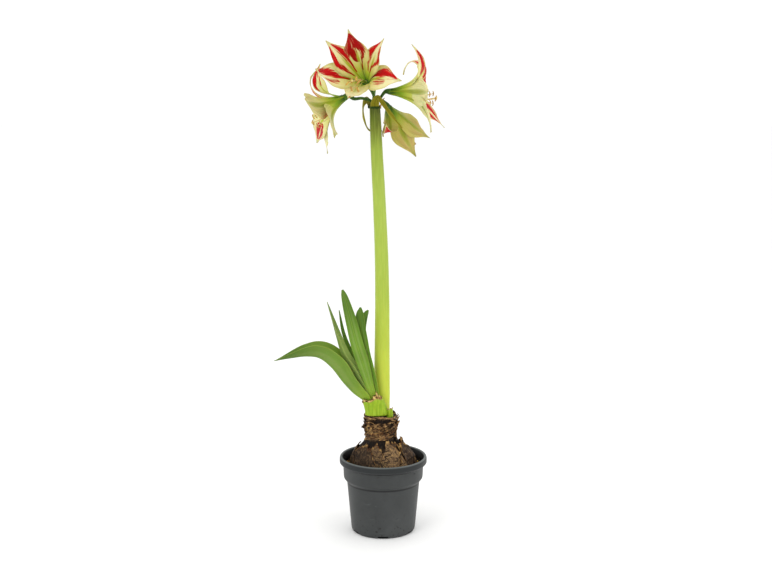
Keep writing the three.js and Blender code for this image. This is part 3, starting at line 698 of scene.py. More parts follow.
# %% Peat
PEAT_LEVEL, PEAT_EDGE, PEAT_SIDES, PEAT_RINGS = 98, 58.0, 160, 34
PEAT_FLANK = [(0, 2.4), (42.3, 2.4), (46.6, 6.2), (52.9, 76.4), (57.9, 84.0), (PEAT_EDGE, PEAT_LEVEL - 0.3)]


def make_peat(material):
    top = np.linspace(PEAT_EDGE - 0.5, 0, PEAT_RINGS)
    profile = np.vstack([PEAT_FLANK, np.stack([top, np.full(PEAT_RINGS, float(PEAT_LEVEL))], axis=1)])
    points, faces = turned(profile, PEAT_SIDES)
    x, y, z = points.T
    radius = np.hypot(x, y)
    share = 1 - radius / PEAT_EDGE
    turn = np.arctan2(y, x)
    lumps = 2.2 * (np.sin(5 * turn + 9 * share) + 0.7 * np.sin(11 * turn - 5 * share)) * (1 - 0.6 * share)
    crumbs = np.array([noise.fractal(Vector(p) * 0.16, 0.7, 2.1, 4) for p in points])
    on_top = z > PEAT_LEVEL - 0.2
    points[:, 2] += np.where(on_top, (0.35 * lumps + 1.4 * crumbs) * smooth((PEAT_EDGE - radius) / 2), 0)
    return piece("peat_body", points, faces, material, tone=np.zeros(len(points)))


peat_stops = [(0.3, "#0d0a08"), (0.5, "#1c1510"), (0.62, "#33271e"), (0.75, "#57442f")]
peat_tone = ("#6b523a", "tone", 0, 1, 0.45)
peat_finish = grained("peat", 0.95, 0.1, [(), 160.0, 8, 0.7], peat_stops, peat_tone, depth=1.2)
peat = make_peat(peat_finish)
dress(peat, "soil", "soil")


# %% The scatter tree
def make_scatter_tree():
    tree, given = start_tree(
        "scatter on top", Density=60000.0, Smallest=0.0005, Largest=0.0016, Stretch=(1, 1, 0.7),
        Nearest=0.040, Farthest=0.0573, Above=0.09, Seed=4,
    )
    x, y, z = parts(tree, geo(tree, "InputPosition"))
    radius = vector(tree, "LENGTH", joined(tree, x, y))
    inside = number(tree, "LESS_THAN", radius, given["Farthest"])
    outside = number(tree, "GREATER_THAN", radius, given["Nearest"])
    chosen = times(tree, inside, outside, number(tree, "GREATER_THAN", z, given["Above"]))
    spread = dict(Selection=chosen, Density=given["Density"], Seed=given["Seed"])
    points = geo(tree, "DistributePointsOnFaces", Mesh=given["Geometry"], **spread)

    def chance(kind, low, high, step):
        first, out = (0, 0) if kind == "FLOAT_VECTOR" else (2, 1)
        inputs = {first: low, first + 1: high, 8: number(tree, "ADD", given["Seed"], float(step))}
        return node(tree, "FunctionNodeRandomValue", inputs, data_type=kind).outputs[out]

    points = stored(tree, points, "tone", chance("FLOAT", 0.0, 1.0, 1))
    crumb = geo(tree, "MeshIcoSphere", Radius=1.0, Subdivisions=2)
    dents = node(tree, "ShaderNodeTexNoise", {"Scale": 1.1, "Detail": 2.0}).outputs[0]
    dented = scaled(tree, geo(tree, "InputNormal"), times(tree, dents, 0.9))
    crumb = geo(tree, "SetPosition", Geometry=crumb, Offset=dented)
    facing = chance("FLOAT_VECTOR", (0, 0, 0), (6.3, 6.3, 6.3), 3)
    size = scaled(tree, given["Stretch"], chance("FLOAT", given["Smallest"], given["Largest"], 2))
    crumbs = geo(tree, "InstanceOnPoints", Points=points, Instance=crumb, Rotation=facing, Scale=size)
    return end_tree(tree, crumbs, given["Material"])


scatter_tree = make_scatter_tree()
chip_stops = [(0.35, "#7a4a1c"), (0.5, "#c08a34"), (0.65, "#e2bd5c")]
chip_finish = grained("yellow chips", 0.9, 0.1, [(), 260.0, 3], chip_stops, depth=0.3)
for name, material, values in (
    ("peat_crumbs", peat_finish, dict(Density=190000.0, Smallest=0.0004, Largest=0.0013)),
    ("peat_fibres", peat_finish, dict(Density=26000.0, Stretch=(4.5, 0.28, 0.28), Seed=9)),
    ("peat_chips", chip_finish, dict(Density=2600.0, Smallest=0.0009, Largest=0.0024, Nearest=0.046, Seed=21)),
):
    dress(grow(name, added("seed", peat.data.copy()), scatter_tree, material, **values), "soil")

# %% [markdown]
# ## The bulb
# An amaryllis bulb is like an onion: a round body with a thick neck, in dry brown skins that split, overlap and
# peel away at their torn tops. The body is a swept surface with shallow lobes. Each skin is a thin sheet that
# follows the body a little further out, so its edges throw real shadows.

# %% Bulb surface
BULB_BASE, NECK_TOP = 24, 181
bulb_radius = through([
    (0, 20), (0.1, 34), (0.25, 45), (0.42, 49), (0.53, 47), (0.62, 40.5), (0.69, 31), (0.735, 25),
    (0.78, 22.8), (0.86, 22.5), (0.95, 22.2), (0.985, 23.6), (1, 22),
])


def bulb_point(v, turn, swell=0.0):
    """Points of the bulb's surface: v from its base to the top of its neck, turn round it, swell outwards."""
    lobes = 1 + 0.045 * np.sin(3 * turn + 0.6) * smooth((0.8 - v) / 0.3) + 0.03 * np.sin(7 * turn + 14 * v)
    r = bulb_radius(v) * lobes + swell
    x = mix(-1, -3.5, smooth((v - 0.45) / 0.3))
    z = mix(BULB_BASE, NECK_TOP, v) + 0 * r
    return np.stack([x + r * np.cos(turn), r * np.sin(turn), z], axis=-1)


def make_skin_finish():
    made, tree, shader = finish("dry bulb skin", 0.7, 0.12)
    fibre = grain(tree, (6, 6, 0.6), 75.0, 7, 0.62, 0.4)
    blotch = grain(tree, (), 38.0, 4, 0.6)
    crease = grain(tree, (1, 1, 1.8), 95.0, 4, 0.6, 1.6)
    torn = grain(tree, (), 120.0, 3)
    tone, aside = marked(tree, "tone"), parts(tree, object_place(tree))[0]
    base = ramp(tree, fibre, (0.3, "#160f0a"), (0.45, "#2c2017"), (0.56, "#4c3a2a"), (0.72, "#80684c"))
    base = layered(tree, base, ("#7d6248", tone, 0, 1, 0.6), ("#201610", blotch, 0.5, 0.64, 0.7))
    line = times(tree, remap(tree, away(tree, crease, 0.5), 0.035, 0.0, 0, 0.7), tone)
    base = layered(tree, mixed(tree, line, base, "#c09c62"), ("#0e0906", crease, 0.46, 0.38, 0.85))
    # The torn edges take their own colour; on the neck the crests of the pleats take it too, as a painted
    # highlight.
    edge_colour = ramp(tree, torn, (0.38, "#1a0f0a"), (0.49, "#6a4222"), (0.62, "#bb955a"))
    base = layered(tree, base, (edge_colour, marked(tree, "edge"), 0.2, 1.0, 0.85))
    # Painted shade: this mark darkens the crevices round the neck and the valleys between the pleats.
    base = mixed(tree, times(tree, marked(tree, "gap"), 0.85), base, "#0d0907")
    base = layered(tree, base, ("#140f0b", aside, -0.008, -0.034, 0.36))
    paint(tree, shader, base, number(tree, "MULTIPLY_ADD", fibre, 0.7, blotch), 0.6)
    return made


# %% Bulb body
BODY_ROWS, BODY_SIDES = 120, 168


def make_bulb_body(material):
    v = np.linspace(0, 1, BODY_ROWS)[:, None]
    turn = circle(BODY_SIDES)[None, :]
    wrinkle = 0.3 * np.sin(29 * turn + 3 * np.sin(9 * v)) + 0.2 * np.sin(53 * turn + 17 * v)
    rings = bulb_point(v, turn + 0 * v, wrinkle * smooth((v - 0.3) / 0.3) - 0.4)
    rings[..., 2] -= 4 * smooth((rings[..., 0] + 4) / 16) * smooth((v - 0.93) / 0.07)
    ends = [(0, 0, BULB_BASE), (0, 0, NECK_TOP - 1.5)]
    z = np.append(rings[..., 2], [end[2] for end in ends])
    # Painted shade: the body is darkened in a band round the foot of the neck and in another under the strings.
    gap = smooth((z - 128) / 8) * smooth((146 - z) / 3) + 0.8 * smooth((z - 163) / 4) * smooth((179 - z) / 2)
    marks = {"tone": np.full(len(z), 0.1), "edge": np.zeros(len(z)), "gap": gap}
    return swept("bulb_body", rings, ends, material, **marks)


skin_finish = make_skin_finish()
dress(make_bulb_body(skin_finish), "bulb", "bulb")

# %% Bulb skins
# Each skin is its middle and spread in degrees, its low and high edge along the bulb, how far its top drops at
# the sides, its slant, how far out it lies, how pale it is, and how far its torn top stands off.
SKIN_ROWS, SKIN_COLUMNS = 26, 54
DOME_SKINS = [
    (-66, 36, 0.44, 0.765, 0.3, 0, 2.8, 0.75, 1.2),
    (-135, 40, 0.44, 0.725, 0.14, 0, 1.8, 0.1, 2),
    (-20, 38, 0.44, 0.735, 0.12, 0, 1.5, 0.05, 4),
    (-104, 24, 0.5, 0.735, 0.12, 0, 0.9, 0.4, 1),
    (-46, 24, 0.5, 0.74, 0.06, 0, 0.6, 0.15, 1.2),
    (-6, 34, 0.58, 0.762, 0.05, 0, 4.2, 0.05, 2.6),
    (34, 40, 0.44, 0.7, 0.1, 0, 1.5, 0.4, 1.6),
    (104, 44, 0.44, 0.72, 0.12, 0, 1.2, 0.6, 1.6),
    (168, 40, 0.44, 0.7, 0.1, 0, 1.9, 0.3, 1.6),
]
NECK_SKINS = [
    (-70, 95, 0.775, 0.86, 0, 0.03, 0.7, 0.8, 1.4),
    (-120, 60, 0.815, 0.9, 0.01, -0.035, 1.3, 0.55, 2.6),
    (-40, 55, 0.8, 0.905, 0.02, 0.03, 1.1, 0.7, 2.8),
    (-172, 26, 0.82, 0.885, 0.03, 0.02, 1.2, 0.5, 3),
    (-8, 26, 0.86, 0.95, 0.03, 0.02, 1, 0.6, 2.2),
    (60, 90, 0.77, 0.9, 0.02, 0.02, 0.8, 0.6, 1.4),
    (100, 80, 0.86, 0.985, 0.01, -0.01, 0.4, 0.55, 1),
    (170, 70, 0.78, 0.94, 0.02, 0.02, 1.1, 0.5, 1.8),
]
NECK_PLEATS = 1.5
SKIN_THICKNESS = 0.35


def bulb_skin(middle, spread, low, high, drop, slant, out, tone, lift, pleats=0.0):
    """One dry skin with a torn top edge, and slanting pleats with painted shade in the valleys between them and
    painted highlight on their crests.
    """
    s = np.linspace(-1, 1, SKIN_COLUMNS)[None, :]
    t = np.linspace(0, 1, SKIN_ROWS)[:, None]
    seed = middle * 0.37 + high * 11
    rip = 0.010 * np.sin(9 * s + seed) + 0.007 * np.sin(23 * s + 2.3 * seed) + 0.004 * np.sin(57 * s + 5 * seed)
    top = high - drop * np.abs(s) ** 2.2 + slant * s + rip
    v = low + slant * s * (1 - t) + (top - low - slant * s * (1 - t)) * t
    turn = np.radians(middle + spread * s * (1 - 0.12 * t**3)) + 0 * t
    curl = lift * smooth((t - 0.5) / 0.5) ** 2 + 0.4 * lift * smooth((np.abs(s) - 0.75) / 0.25)
    wave = 0.35 * np.sin(13 * s + 4 * t + seed) + 0.2 * np.sin(31 * s - 6 * t + seed)
    pleat = np.abs(np.sin(7.5 * t - 3.4 * s + 0.6 * np.sin(5 * s + seed) + 3 * seed))
    swell = out + curl * (1 + 0.5 * np.sin(17 * s + seed)) + wave * (0.4 + t) + pleats * (pleat - 0.5)
    edge = np.maximum(smooth((t - 0.86) / 0.14), smooth((np.abs(s) - 0.93) / 0.07))
    # On pleated skins the tone and the edge mark rise on the crests as painted highlight, and the last mark
    # darkens the valleys as painted shade.
    marks = {
        "tone": tone * (1 + 0.6 * pleats * (pleat - 0.5)),
        "edge": np.maximum(edge, 0.6 * pleats * smooth((pleat - 0.6) / 0.35)),
        "gap": 0.66 * pleats * smooth((0.5 - pleat) / 0.4),
    }
    return sheet(bulb_point(v, turn, swell + SKIN_THICKNESS), bulb_point(v, turn, swell), **marks)


skins = [bulb_skin(*row) for row in DOME_SKINS] + [bulb_skin(*row, NECK_PLEATS) for row in NECK_SKINS]
dress(piece("bulb_skins", material=skin_finish, **gathered(skins)), "bulb")

# %% Twisted rim of the neck
# Last year's leaf ends have dried to strings that wind round the top of the neck. Each string is its first and
# last angle in degrees, its first and last height, and its thickness.
STRINGS = [
    (-205, -30, 177, 178, 1.7), (-160, 25, 180, 175.5, 1.5), (-120, 10, 178.5, 177, 1.2),
    (-190, -110, 180, 174, 1.3), (-185, -80, 178, 180, 1.1), (-75, 30, 178, 166, 1.2),
    (-150, -20, 163, 155, 1.0), (-200, -60, 157, 164, 1.1), (20, 170, 175, 177, 1.4),
    (40, 150, 171, 168, 1.1), (-60, -5, 160, 170, 1.2), (-175, -120, 150, 158, 1.3),
    (-115, -50, 168, 159, 1.3), (-140, -75, 167, 160, 1.2), (-95, -15, 152, 161, 1.2),
    (-130, -40, 149, 150, 1.4), (-118, -28, 161, 172, 1.7), (-150, -62, 172, 167, 1.2),
]
STRING_STEPS = 48


def winding(first, last, start, end, thickness):
    v = np.linspace(0, 1, STRING_STEPS + 1)
    turn = np.radians(mix(first, last, v))
    height = mix(start, end, v) + 1.1 * np.sin(9 * v + first) + 0.5 * np.sin(23 * v + last)
    out = 1.1 + 0.8 * np.sin(14 * v + 2 * last)
    line = bulb_point((height - BULB_BASE) / (NECK_TOP - BULB_BASE), turn, out)
    taper = 0.55 + 0.45 * np.sin(math.pi * np.clip(v, 0.05, 0.95))
    return line, thickness * taper * (1 + 0.25 * np.sin(31 * v)), 0


string_stops = [(0.38, "#140c07"), (0.46, "#4f3822"), (0.56, "#94724a"), (0.68, "#c2a26a")]
string_finish = grained("dry string", 0.7, 0.12, [(1, 1, 3), 170.0, 5, 0.65, 0.5], string_stops, depth=0.5)
string_lines = drawn([winding(*row) for row in STRINGS])
dress(grow("neck_strings", string_lines, stem_tree, string_finish, Sides=12, Unevenness=0.0012), "bulb")

# %% [markdown]
# ## The leaf sheath
# The leaves of this year rise from a short green cup of old leaf bases on the neck. Its rim has dried to torn
# paper. The cup is a ring of points drawn up in levels, and the paper is the same ring carried a little higher.

# %% Sheath
SHEATH_X, SHEATH_Y, SHEATH_LEAN, SHEATH_HEIGHT = -10, -11, -9, 31
SHEATH_HALF_WIDTH, SHEATH_HALF_DEPTH = 17, 10
SHEATH_SIDES, SHEATH_LEVELS = 120, 16
CUP_FLOOR = 10  # millimetres above the foot
sheath_turn = circle(SHEATH_SIDES)


def rim_height(turn):
    """The rim is lower behind and on the left, and wavy."""
    level = NECK_TOP + SHEATH_HEIGHT - 7 - 2 * np.sin(turn) + 3.5 * np.cos(turn)
    return level + 1.2 * np.sin(5 * turn + 1)


def sheath_ring(level, inset, height):
    """The ring of the cup at a level from 0 at its foot to 1 at its rim."""
    z = height + 0 * sheath_turn
    x = SHEATH_X + SHEATH_LEAN * level * (z - NECK_TOP) / SHEATH_HEIGHT
    x = x + (SHEATH_HALF_WIDTH * (1 - 0.1 * level) - inset) * np.cos(sheath_turn)
    ridges = 0.25 * np.sin(19 * sheath_turn) * level
    y = SHEATH_Y + (SHEATH_HALF_DEPTH - inset + ridges) * np.sin(sheath_turn)
    return np.stack([x, y, z], axis=1)


def make_sheath_finish():
    made, tree, shader = finish("green sheath", 0.5, 0.15, (0.1, 2))
    streak = grain(tree, (8, 8, 0.7), 60.0, 5, 0.6)
    green = ramp(tree, streak, (0.3, "#76931c"), (0.5, "#8ba922"), (0.7, "#a2ba37"))
    dry = ramp(tree, streak, (0.3, "#5d3f20"), (0.5, "#a78a50"), (0.7, "#cfbc82"))
    paint(tree, shader, layered(tree, green, (dry, marked(tree, "edge"), 0.62, 0.9)), streak, 0.3)
    return made


def make_sheath(material):
    levels = np.linspace(0, 1, SHEATH_LEVELS)
    foot = NECK_TOP + 0.35
    rim = rim_height(sheath_turn) + 0.5 * np.sin(23 * sheath_turn)
    outside = [sheath_ring(t, -0.4 * math.sin(math.pi * t), mix(foot, rim, t)) for t in levels]
    inside = [sheath_ring(t, 1.1, mix(foot + CUP_FLOOR, rim, t)) for t in levels[::-1]]
    ends = [(SHEATH_X, SHEATH_Y, foot), (SHEATH_X, SHEATH_Y, foot + CUP_FLOOR)]
    edge = np.append(np.repeat([*levels, *levels[::-1]], SHEATH_SIDES), [0, 0]) ** 3
    return swept("sheath_cup", outside + inside, ends, material, edge=edge)


sheath_finish = make_sheath_finish()
dress(make_sheath(sheath_finish), "sheath", "sheath")


# %% Torn paper on the rim, and last year's stub
PAPER_THICKNESS, STUB_THICKNESS = 0.35, 0.8
STUB_X, STUB_Y, STUB_Z, STUB_HALF_WIDTH, STUB_HEIGHT = 9.8, -15.2, 176, 5.2, 16


def thin_sheet(name, place, thickness, material, edge):
    """A closed sheet from its x, y and z over a grid, made thick towards the far side."""
    front = np.stack(np.broadcast_arrays(*place), axis=-1)
    made = sheet(front, front + np.array([0, thickness, 0]), edge=edge)
    dress(piece(name, material=material, **made), "sheath")


paper_stops = [(0.38, "#2c1a0d"), (0.47, "#8a6a3a"), (0.56, "#c3a763"), (0.7, "#dccb86")]
paper_edge = ("#3a2413", "edge", 0.7, 1.0, 0.7)
paper_finish = grained("torn paper", 0.7, 0.12, [(), 190.0, 4, 0.6, 0.5], paper_stops, paper_edge, depth=0.4)

turn = np.radians(np.linspace(-186, 6, 140))[None, :]
level = np.linspace(0, 1, 12)[:, None]
flap = 1.3 + 6.5 * np.exp(-(((turn + 1.0) / 0.42) ** 2)) + 1.2 * np.exp(-(((turn + 2.6) / 0.3) ** 2))
flap = flap * (1 + 0.3 * np.sin(17 * turn) + 0.22 * np.sin(41 * turn + 1))
foot = rim_height(turn) - 2.2
paper_z = foot + level * (flap + 1.6)
out = 0.6 + 0.8 * level**2 * np.sin(9 * turn + 1.5) ** 2
paper_x = SHEATH_X + SHEATH_LEAN * (foot - NECK_TOP) / SHEATH_HEIGHT - 0.1 * (paper_z - foot)
paper_x = paper_x + (SHEATH_HALF_WIDTH * 0.9 + out) * np.cos(turn)
paper_y = SHEATH_Y + (SHEATH_HALF_DEPTH + out) * np.sin(turn)
thin_sheet("sheath_paper", (paper_x, paper_y, paper_z), PAPER_THICKNESS, paper_finish, level)

aside = np.linspace(-1, 1, 24)[None, :]
level = np.linspace(0, 1, 16)[:, None]
stub_x = STUB_X + aside * (STUB_HALF_WIDTH - 0.8 * level)
stub_y = STUB_Y + 3.5 * aside**2 - 1.5 * level
stub_z = STUB_Z + level * (STUB_HEIGHT + 1.2 * aside + 0.7 * np.sin(8 * aside))
thin_sheet("sheath_stub", (stub_x, stub_y, stub_z), STUB_THICKNESS, sheath_finish, level**2.5)

# %% [markdown]
# ## The scape
# The flower stem is thick, smooth and faintly waxy, yellow-green at its foot and darker at the top. It is the
# stem tree on one long path.

# %% Scape
SCAPE_TOP = np.array([-12.0, 0, 638])
SCAPE_PATH = [
    (-1.4, 10, 175), (-1.8, 10.5, 240), (-1.4, 8, 350), (-2.2, 5, 410), (-5.6, 2.5, 500), (-9.2, 1, 570),
    SCAPE_TOP,
]
SCAPE_STEPS = 150
scape_radius = through([(0, 10.8), (0.08, 11.8), (0.35, 10.8), (0.6, 9.7), (0.85, 8.8), (1, 7.8)])
scape_stops = [
    (0, "#bdc637"), (0.2, "#b4c23f"), (0.4, "#9fb442"), (0.7, "#9db24b"), (0.86, "#8a9e39"), (0.93, "#626d1f"),
    (0.985, "#3e4716"), (1, "#22260d"),
]
scape_finish = grained(
    "waxy stem", 0.45, 0.18, [(14, 14, 0.5), 55.0, 4, 0.6], scape_stops,
    ("#ced768", "fine", 0.42, 0.62, 0.16), ("#86a030", ((1, 1, 0.4), 30.0, 4, 0.6), 0.4, 0.7, 0.25),
    depth=0.1, by="along", glow=(0.08, 3),
)
scape_line = path(SCAPE_PATH, SCAPE_STEPS), scape_radius(np.linspace(0, 1, SCAPE_STEPS + 1)), 0
scape = grow("scape_stem", drawn([scape_line]), stem_tree, scape_finish, Sides=64, Unevenness=0.0004)
dress(scape, "scape", "scape")

# %% [markdown]
# ## The leaves
# Six strap leaves fan out to the left. Each is one row of a table: the points its keel runs through, where its
# hollow side looks at the foot and at the tip, its half-width on the way, and how far its two halves fold up.
# Ninety degrees would be flat.

# %% Leaf table
LEAVES = {
    "leaf_arching": dict(
        spine=[(-19.9, -10.8, 193), (-31, -11.3, 204.4), (-43.5, -11.7, 214), (-58.5, -12, 230),
               (-77.5, -12, 254.5), (-95, -12, 268), (-113, -12, 270.5), (-137, -13, 268), (-162, -14, 264)],
        faces=[(0.8, -0.1, 0.6), (0.1, 0, 1)],
        half=[(0, 10), (0.05, 15), (0.1, 19.5), (0.2, 24), (0.3, 27), (0.45, 31.5), (0.6, 30), (0.8, 17),
              (0.93, 7), (1, 1.2)],
        fold=[(0, 25), (0.3, 25), (0.55, 30), (1, 38)],
        tone=0.6,
    ),
    "leaf_left": dict(
        spine=[(-15.8, -11, 193), (-27.3, -11.3, 216), (-46, -11.7, 247), (-60, -12, 270), (-69, -11.5, 300),
               (-75, -11, 324), (-82.5, -10, 352)],
        faces=[(0.8, -0.1, 0.5), (0.9, -0.3, 0.1)],
        half=[(0, 5), (0.1, 6), (0.2, 10), (0.3, 13.5), (0.45, 15.5), (0.65, 12), (0.85, 6), (0.95, 3.4),
              (1, 1.1)],
        fold=[(0, 25), (0.4, 36), (0.8, 50), (1, 60)],
        tone=0.85,
    ),
    "leaf_slim": dict(
        spine=[(-15, -5.1, 193), (-20.7, -4.2, 210), (-26, 0, 224), (-32.5, 4.2, 238), (-39.5, 5, 253),
               (-51.5, 4.5, 280), (-59.5, 4, 304), (-65.5, 4, 337)],
        faces=[(0.3, -0.95, 0.1), (0.3, -0.9, 0.1)],
        half=[(0, 2.2), (0.2, 4), (0.5, 4.6), (0.7, 3.2), (0.9, 1.9), (1, 0.8)],
        fold=[(0, 76), (1, 80)],
        tone=0.3,
    ),
    "leaf_tall": dict(
        spine=[(-9.1, -12.5, 193.3), (-17, -12.2, 216), (-30.5, -11.5, 261), (-40, -11, 292),
               (-49.6, -10, 331), (-60, -9.5, 370)],
        faces=[(0.1, -0.99, 0), (0.35, -0.94, 0.1)],
        half=[(0, 3), (0.15, 6), (0.4, 9.8), (0.7, 9.2), (0.88, 6.6), (0.96, 4.4), (1, 1.6)],
        fold=[(0, 66), (1, 78)],
        tone=0.45,
    ),
    "leaf_dark": dict(
        spine=[(-6.2, -9.8, 193), (-12.2, -8.6, 214), (-23.4, -6.5, 258), (-30.5, -5.5, 294), (-34, -5, 325),
               (-33.5, -5, 343)],
        faces=[(-0.25, -0.97, 0), (-0.45, -0.9, 0.1)],
        half=[(0, 3.4), (0.15, 7), (0.3, 9.6), (0.6, 9.8), (0.85, 8.6), (0.95, 5.6), (1, 1.4)],
        fold=[(0, 70), (1, 76)],
        tone=0.35,
    ),
    "leaf_back": dict(
        spine=[(-8.2, -6.4, 193), (-13.6, -4.8, 214), (-24.5, -2.6, 262), (-30, -1.4, 300),
               (-29.5, -0.8, 320), (-26.4, 0, 331.5), (-22, 1, 338)],
        faces=[(-0.1, -1, 0), (0.3, -0.9, -0.4)],
        half=[(0, 2.4), (0.3, 4.4), (0.8, 5), (0.9, 5.4), (0.97, 4), (1, 1.2)],
        fold=[(0, 72), (1, 74)],
        tone=0.15,
    ),
}
STRAP_STEPS = 120
LEAF_WAVE = 0.0003


def lay_strap(name, spec, material, **sizes):
    """Grows one strap from its row of the table."""
    v = np.linspace(0, 1, STRAP_STEPS + 1)
    stroke = (path(spec["spine"], STRAP_STEPS), through(spec["half"])(v), through(spec["fold"])(v))
    foot, tip = (tuple(unit(f).tolist()) for f in spec["faces"])
    values = {"Foot_faces": foot, "Tip_faces": tip, "Tone": spec["tone"], "Steps": STRAP_STEPS}
    return grow(name, drawn([stroke]), strap_tree, material, **values, **sizes)


# %% Leaf finish
def make_leaf_finish():
    made, tree, shader = finish("leaf green", 0.45, 0.18, (0.08, 2))
    along, middle = blade(tree)
    vein = grain(tree, sheet_place(tree, 26, 1.2), 4.0, 5, 0.6)
    cloud = grain(tree, (), 28.0, 4, 0.6)
    tones = [(0.0, "#3f7a14"), (0.35, "#55801e"), (0.6, "#6d8d2c"), (0.9, "#a9bd6c")]
    layers = [
        ("#93b140", vein, 0.42, 0.6, 0.25),
        ("#44651c", cloud, 0.5, 0.72, 0.3),
        ("#a3b26a", away(tree, middle, 0.2), 0.14, 0.02, 0.25),
        ("#9dbb30", along, 0.3, 0.0, 0.85),
        ("#416118", along, 0.5, 0.9, 0.7),
        ("#46641c", marked(tree, "inside"), 0.6, 0.4, 0.28),
        ("#a4b94c", middle, 0.04, 0.0, 0.3),
        ("#a9b650", middle, 0.475, 0.5, 0.45),
    ]
    base = layered(tree, ramp(tree, marked(tree, "tone"), *tones), *layers)
    paint(tree, shader, base, vein, 0.25, remap(tree, cloud, 0.3, 0.7, 0.38, 0.54))
    return made


leaf_finish = make_leaf_finish()
for name, spec in LEAVES.items():
    dress(lay_strap(name + "_blade", spec, leaf_finish, Margin_wave=LEAF_WAVE), "leaf", name)

# %% [markdown]
# ## The bracts
# Two papery bracts once wrapped the buds. They now hang from the top of the scape and end in narrow twisted
# ribbons, with a smaller one between the stalks. They are straps too, narrower, thinner and dry.

# %% Bracts
BRACTS = {
    "bract_front": dict(
        spine=[(-12, -9.1, 633.5), (-12, -9.4, 639), (-10.5, -10.5, 645), (-7, -14, 649.5), (-1, -20, 642),
               (10, -28, 627), (27, -34, 606)],
        faces=[(0.1, 1, 0), (-0.5, 0.6, -0.6)],
        half=[(0, 7), (0.1, 6.2), (0.2, 4.5), (0.26, 3), (0.35, 3.2), (0.6, 3), (0.8, 2.4), (1, 0.8)],
        fold=[(0, 66), (0.3, 80), (1, 76)],
        tone=0.25,
    ),
    "bract_back": dict(
        spine=[(-19, 5.4, 633.5), (-20, 6, 640), (-24.5, 5, 645.5), (-28.5, 3, 638), (-29, 2, 628),
               (-27, 4, 616), (-21, 12, 603), (-12, 14, 600), (-4, 12.5, 603), (-0.9, 3.4, 599.4),
               (0.2, -6, 593)],
        faces=[(0.8, -0.6, 0), (0.4, -0.9, 0)],
        half=[(0, 6.5), (0.12, 5.6), (0.25, 2.2), (0.6, 1.4), (1, 0.7)],
        fold=[(0, 66), (0.3, 84), (1, 84)],
        tone=0.75,
    ),
    "bracteole": dict(
        spine=[(-3.3, -1.6, 633.5), (-2.8, -2, 640), (-1, -3.6, 646), (2.4, -5, 648.5)],
        faces=[(-1, 0.2, 0), (-0.7, 0.3, -0.6)],
        half=[(0, 3.4), (0.5, 3), (1, 0.8)],
        fold=[(0, 72), (1, 84)],
        tone=1.0,
    ),
}
BRACT_SIZES = dict(Foot_thickness=0.0009, Tip_thickness=0.0007, Margin_wave=0.0006)


def make_bract_finish():
    made, tree, shader = finish("papery bract", 0.7, 0.12)
    vein = grain(tree, sheet_place(tree, 12, 2), 4.0, 5, 0.65, 0.3)
    along, middle = blade(tree)
    tones = [(0.2, "#8c8418"), (0.5, "#96922a"), (0.8, "#b5ab44"), (1.0, "#c4895a")]
    layers = [
        ("#5a5410", vein, 0.44, 0.62, 0.65),
        ("#b2a648", middle, 0.36, 0.5, 0.6),
        ("#6a640f", middle, 0.12, 0.0, 0.5),
        ("#2b4214", along, 0.05, 0.03),
    ]
    paint(tree, shader, layered(tree, ramp(tree, marked(tree, "tone"), *tones), *layers), vein, 0.5)
    return made


bract_finish = make_bract_finish()
for name, spec in BRACTS.items():
    dress(lay_strap(name + "_paper", spec, bract_finish, **BRACT_SIZES), "bract", name)


# %% [markdown]
# ## The blooms
# A bloom is six tepals on one short tube: three outer ones and three inner ones between them. Each leaves the
# tube at its turn round the axis, opens to its flare, and rolls back by a further curl. A sheet with a UV map
# suits this best, because the red flames, the green rib and the fine veins all run along the tepal. Python
# writes the points, so that the funnel, the cup and the crisped margin each stay one plain line.


# %% Bloom table
def tepal(turn, flare, curl, length, half, **more):
    """Angles in degrees, length and half-width, and what differs from the usual: the opening of the funnel,
    where the curl begins, the cup as bow per millimetre, a twist, and how dark the red is."""
    usual = dict(funnel=22, bend=0.55, cup=0.012, twist=0, dark=0.1)
    return dict(turn=turn, flare=flare, curl=curl, length=length, half=half) | usual | more


def stamens(reach, droop, swing, **more):
    """How far the filaments reach, droop and swing aside, and what differs from the usual: how much further the
    style reaches, how far the ends spread, and the shares of the droop along a filament."""
    usual = dict(style=10, spread=7.5, bow=(0.35, 0.95, 0.8))
    return dict(reach=reach, droop=droop, swing=swing) | usual | more


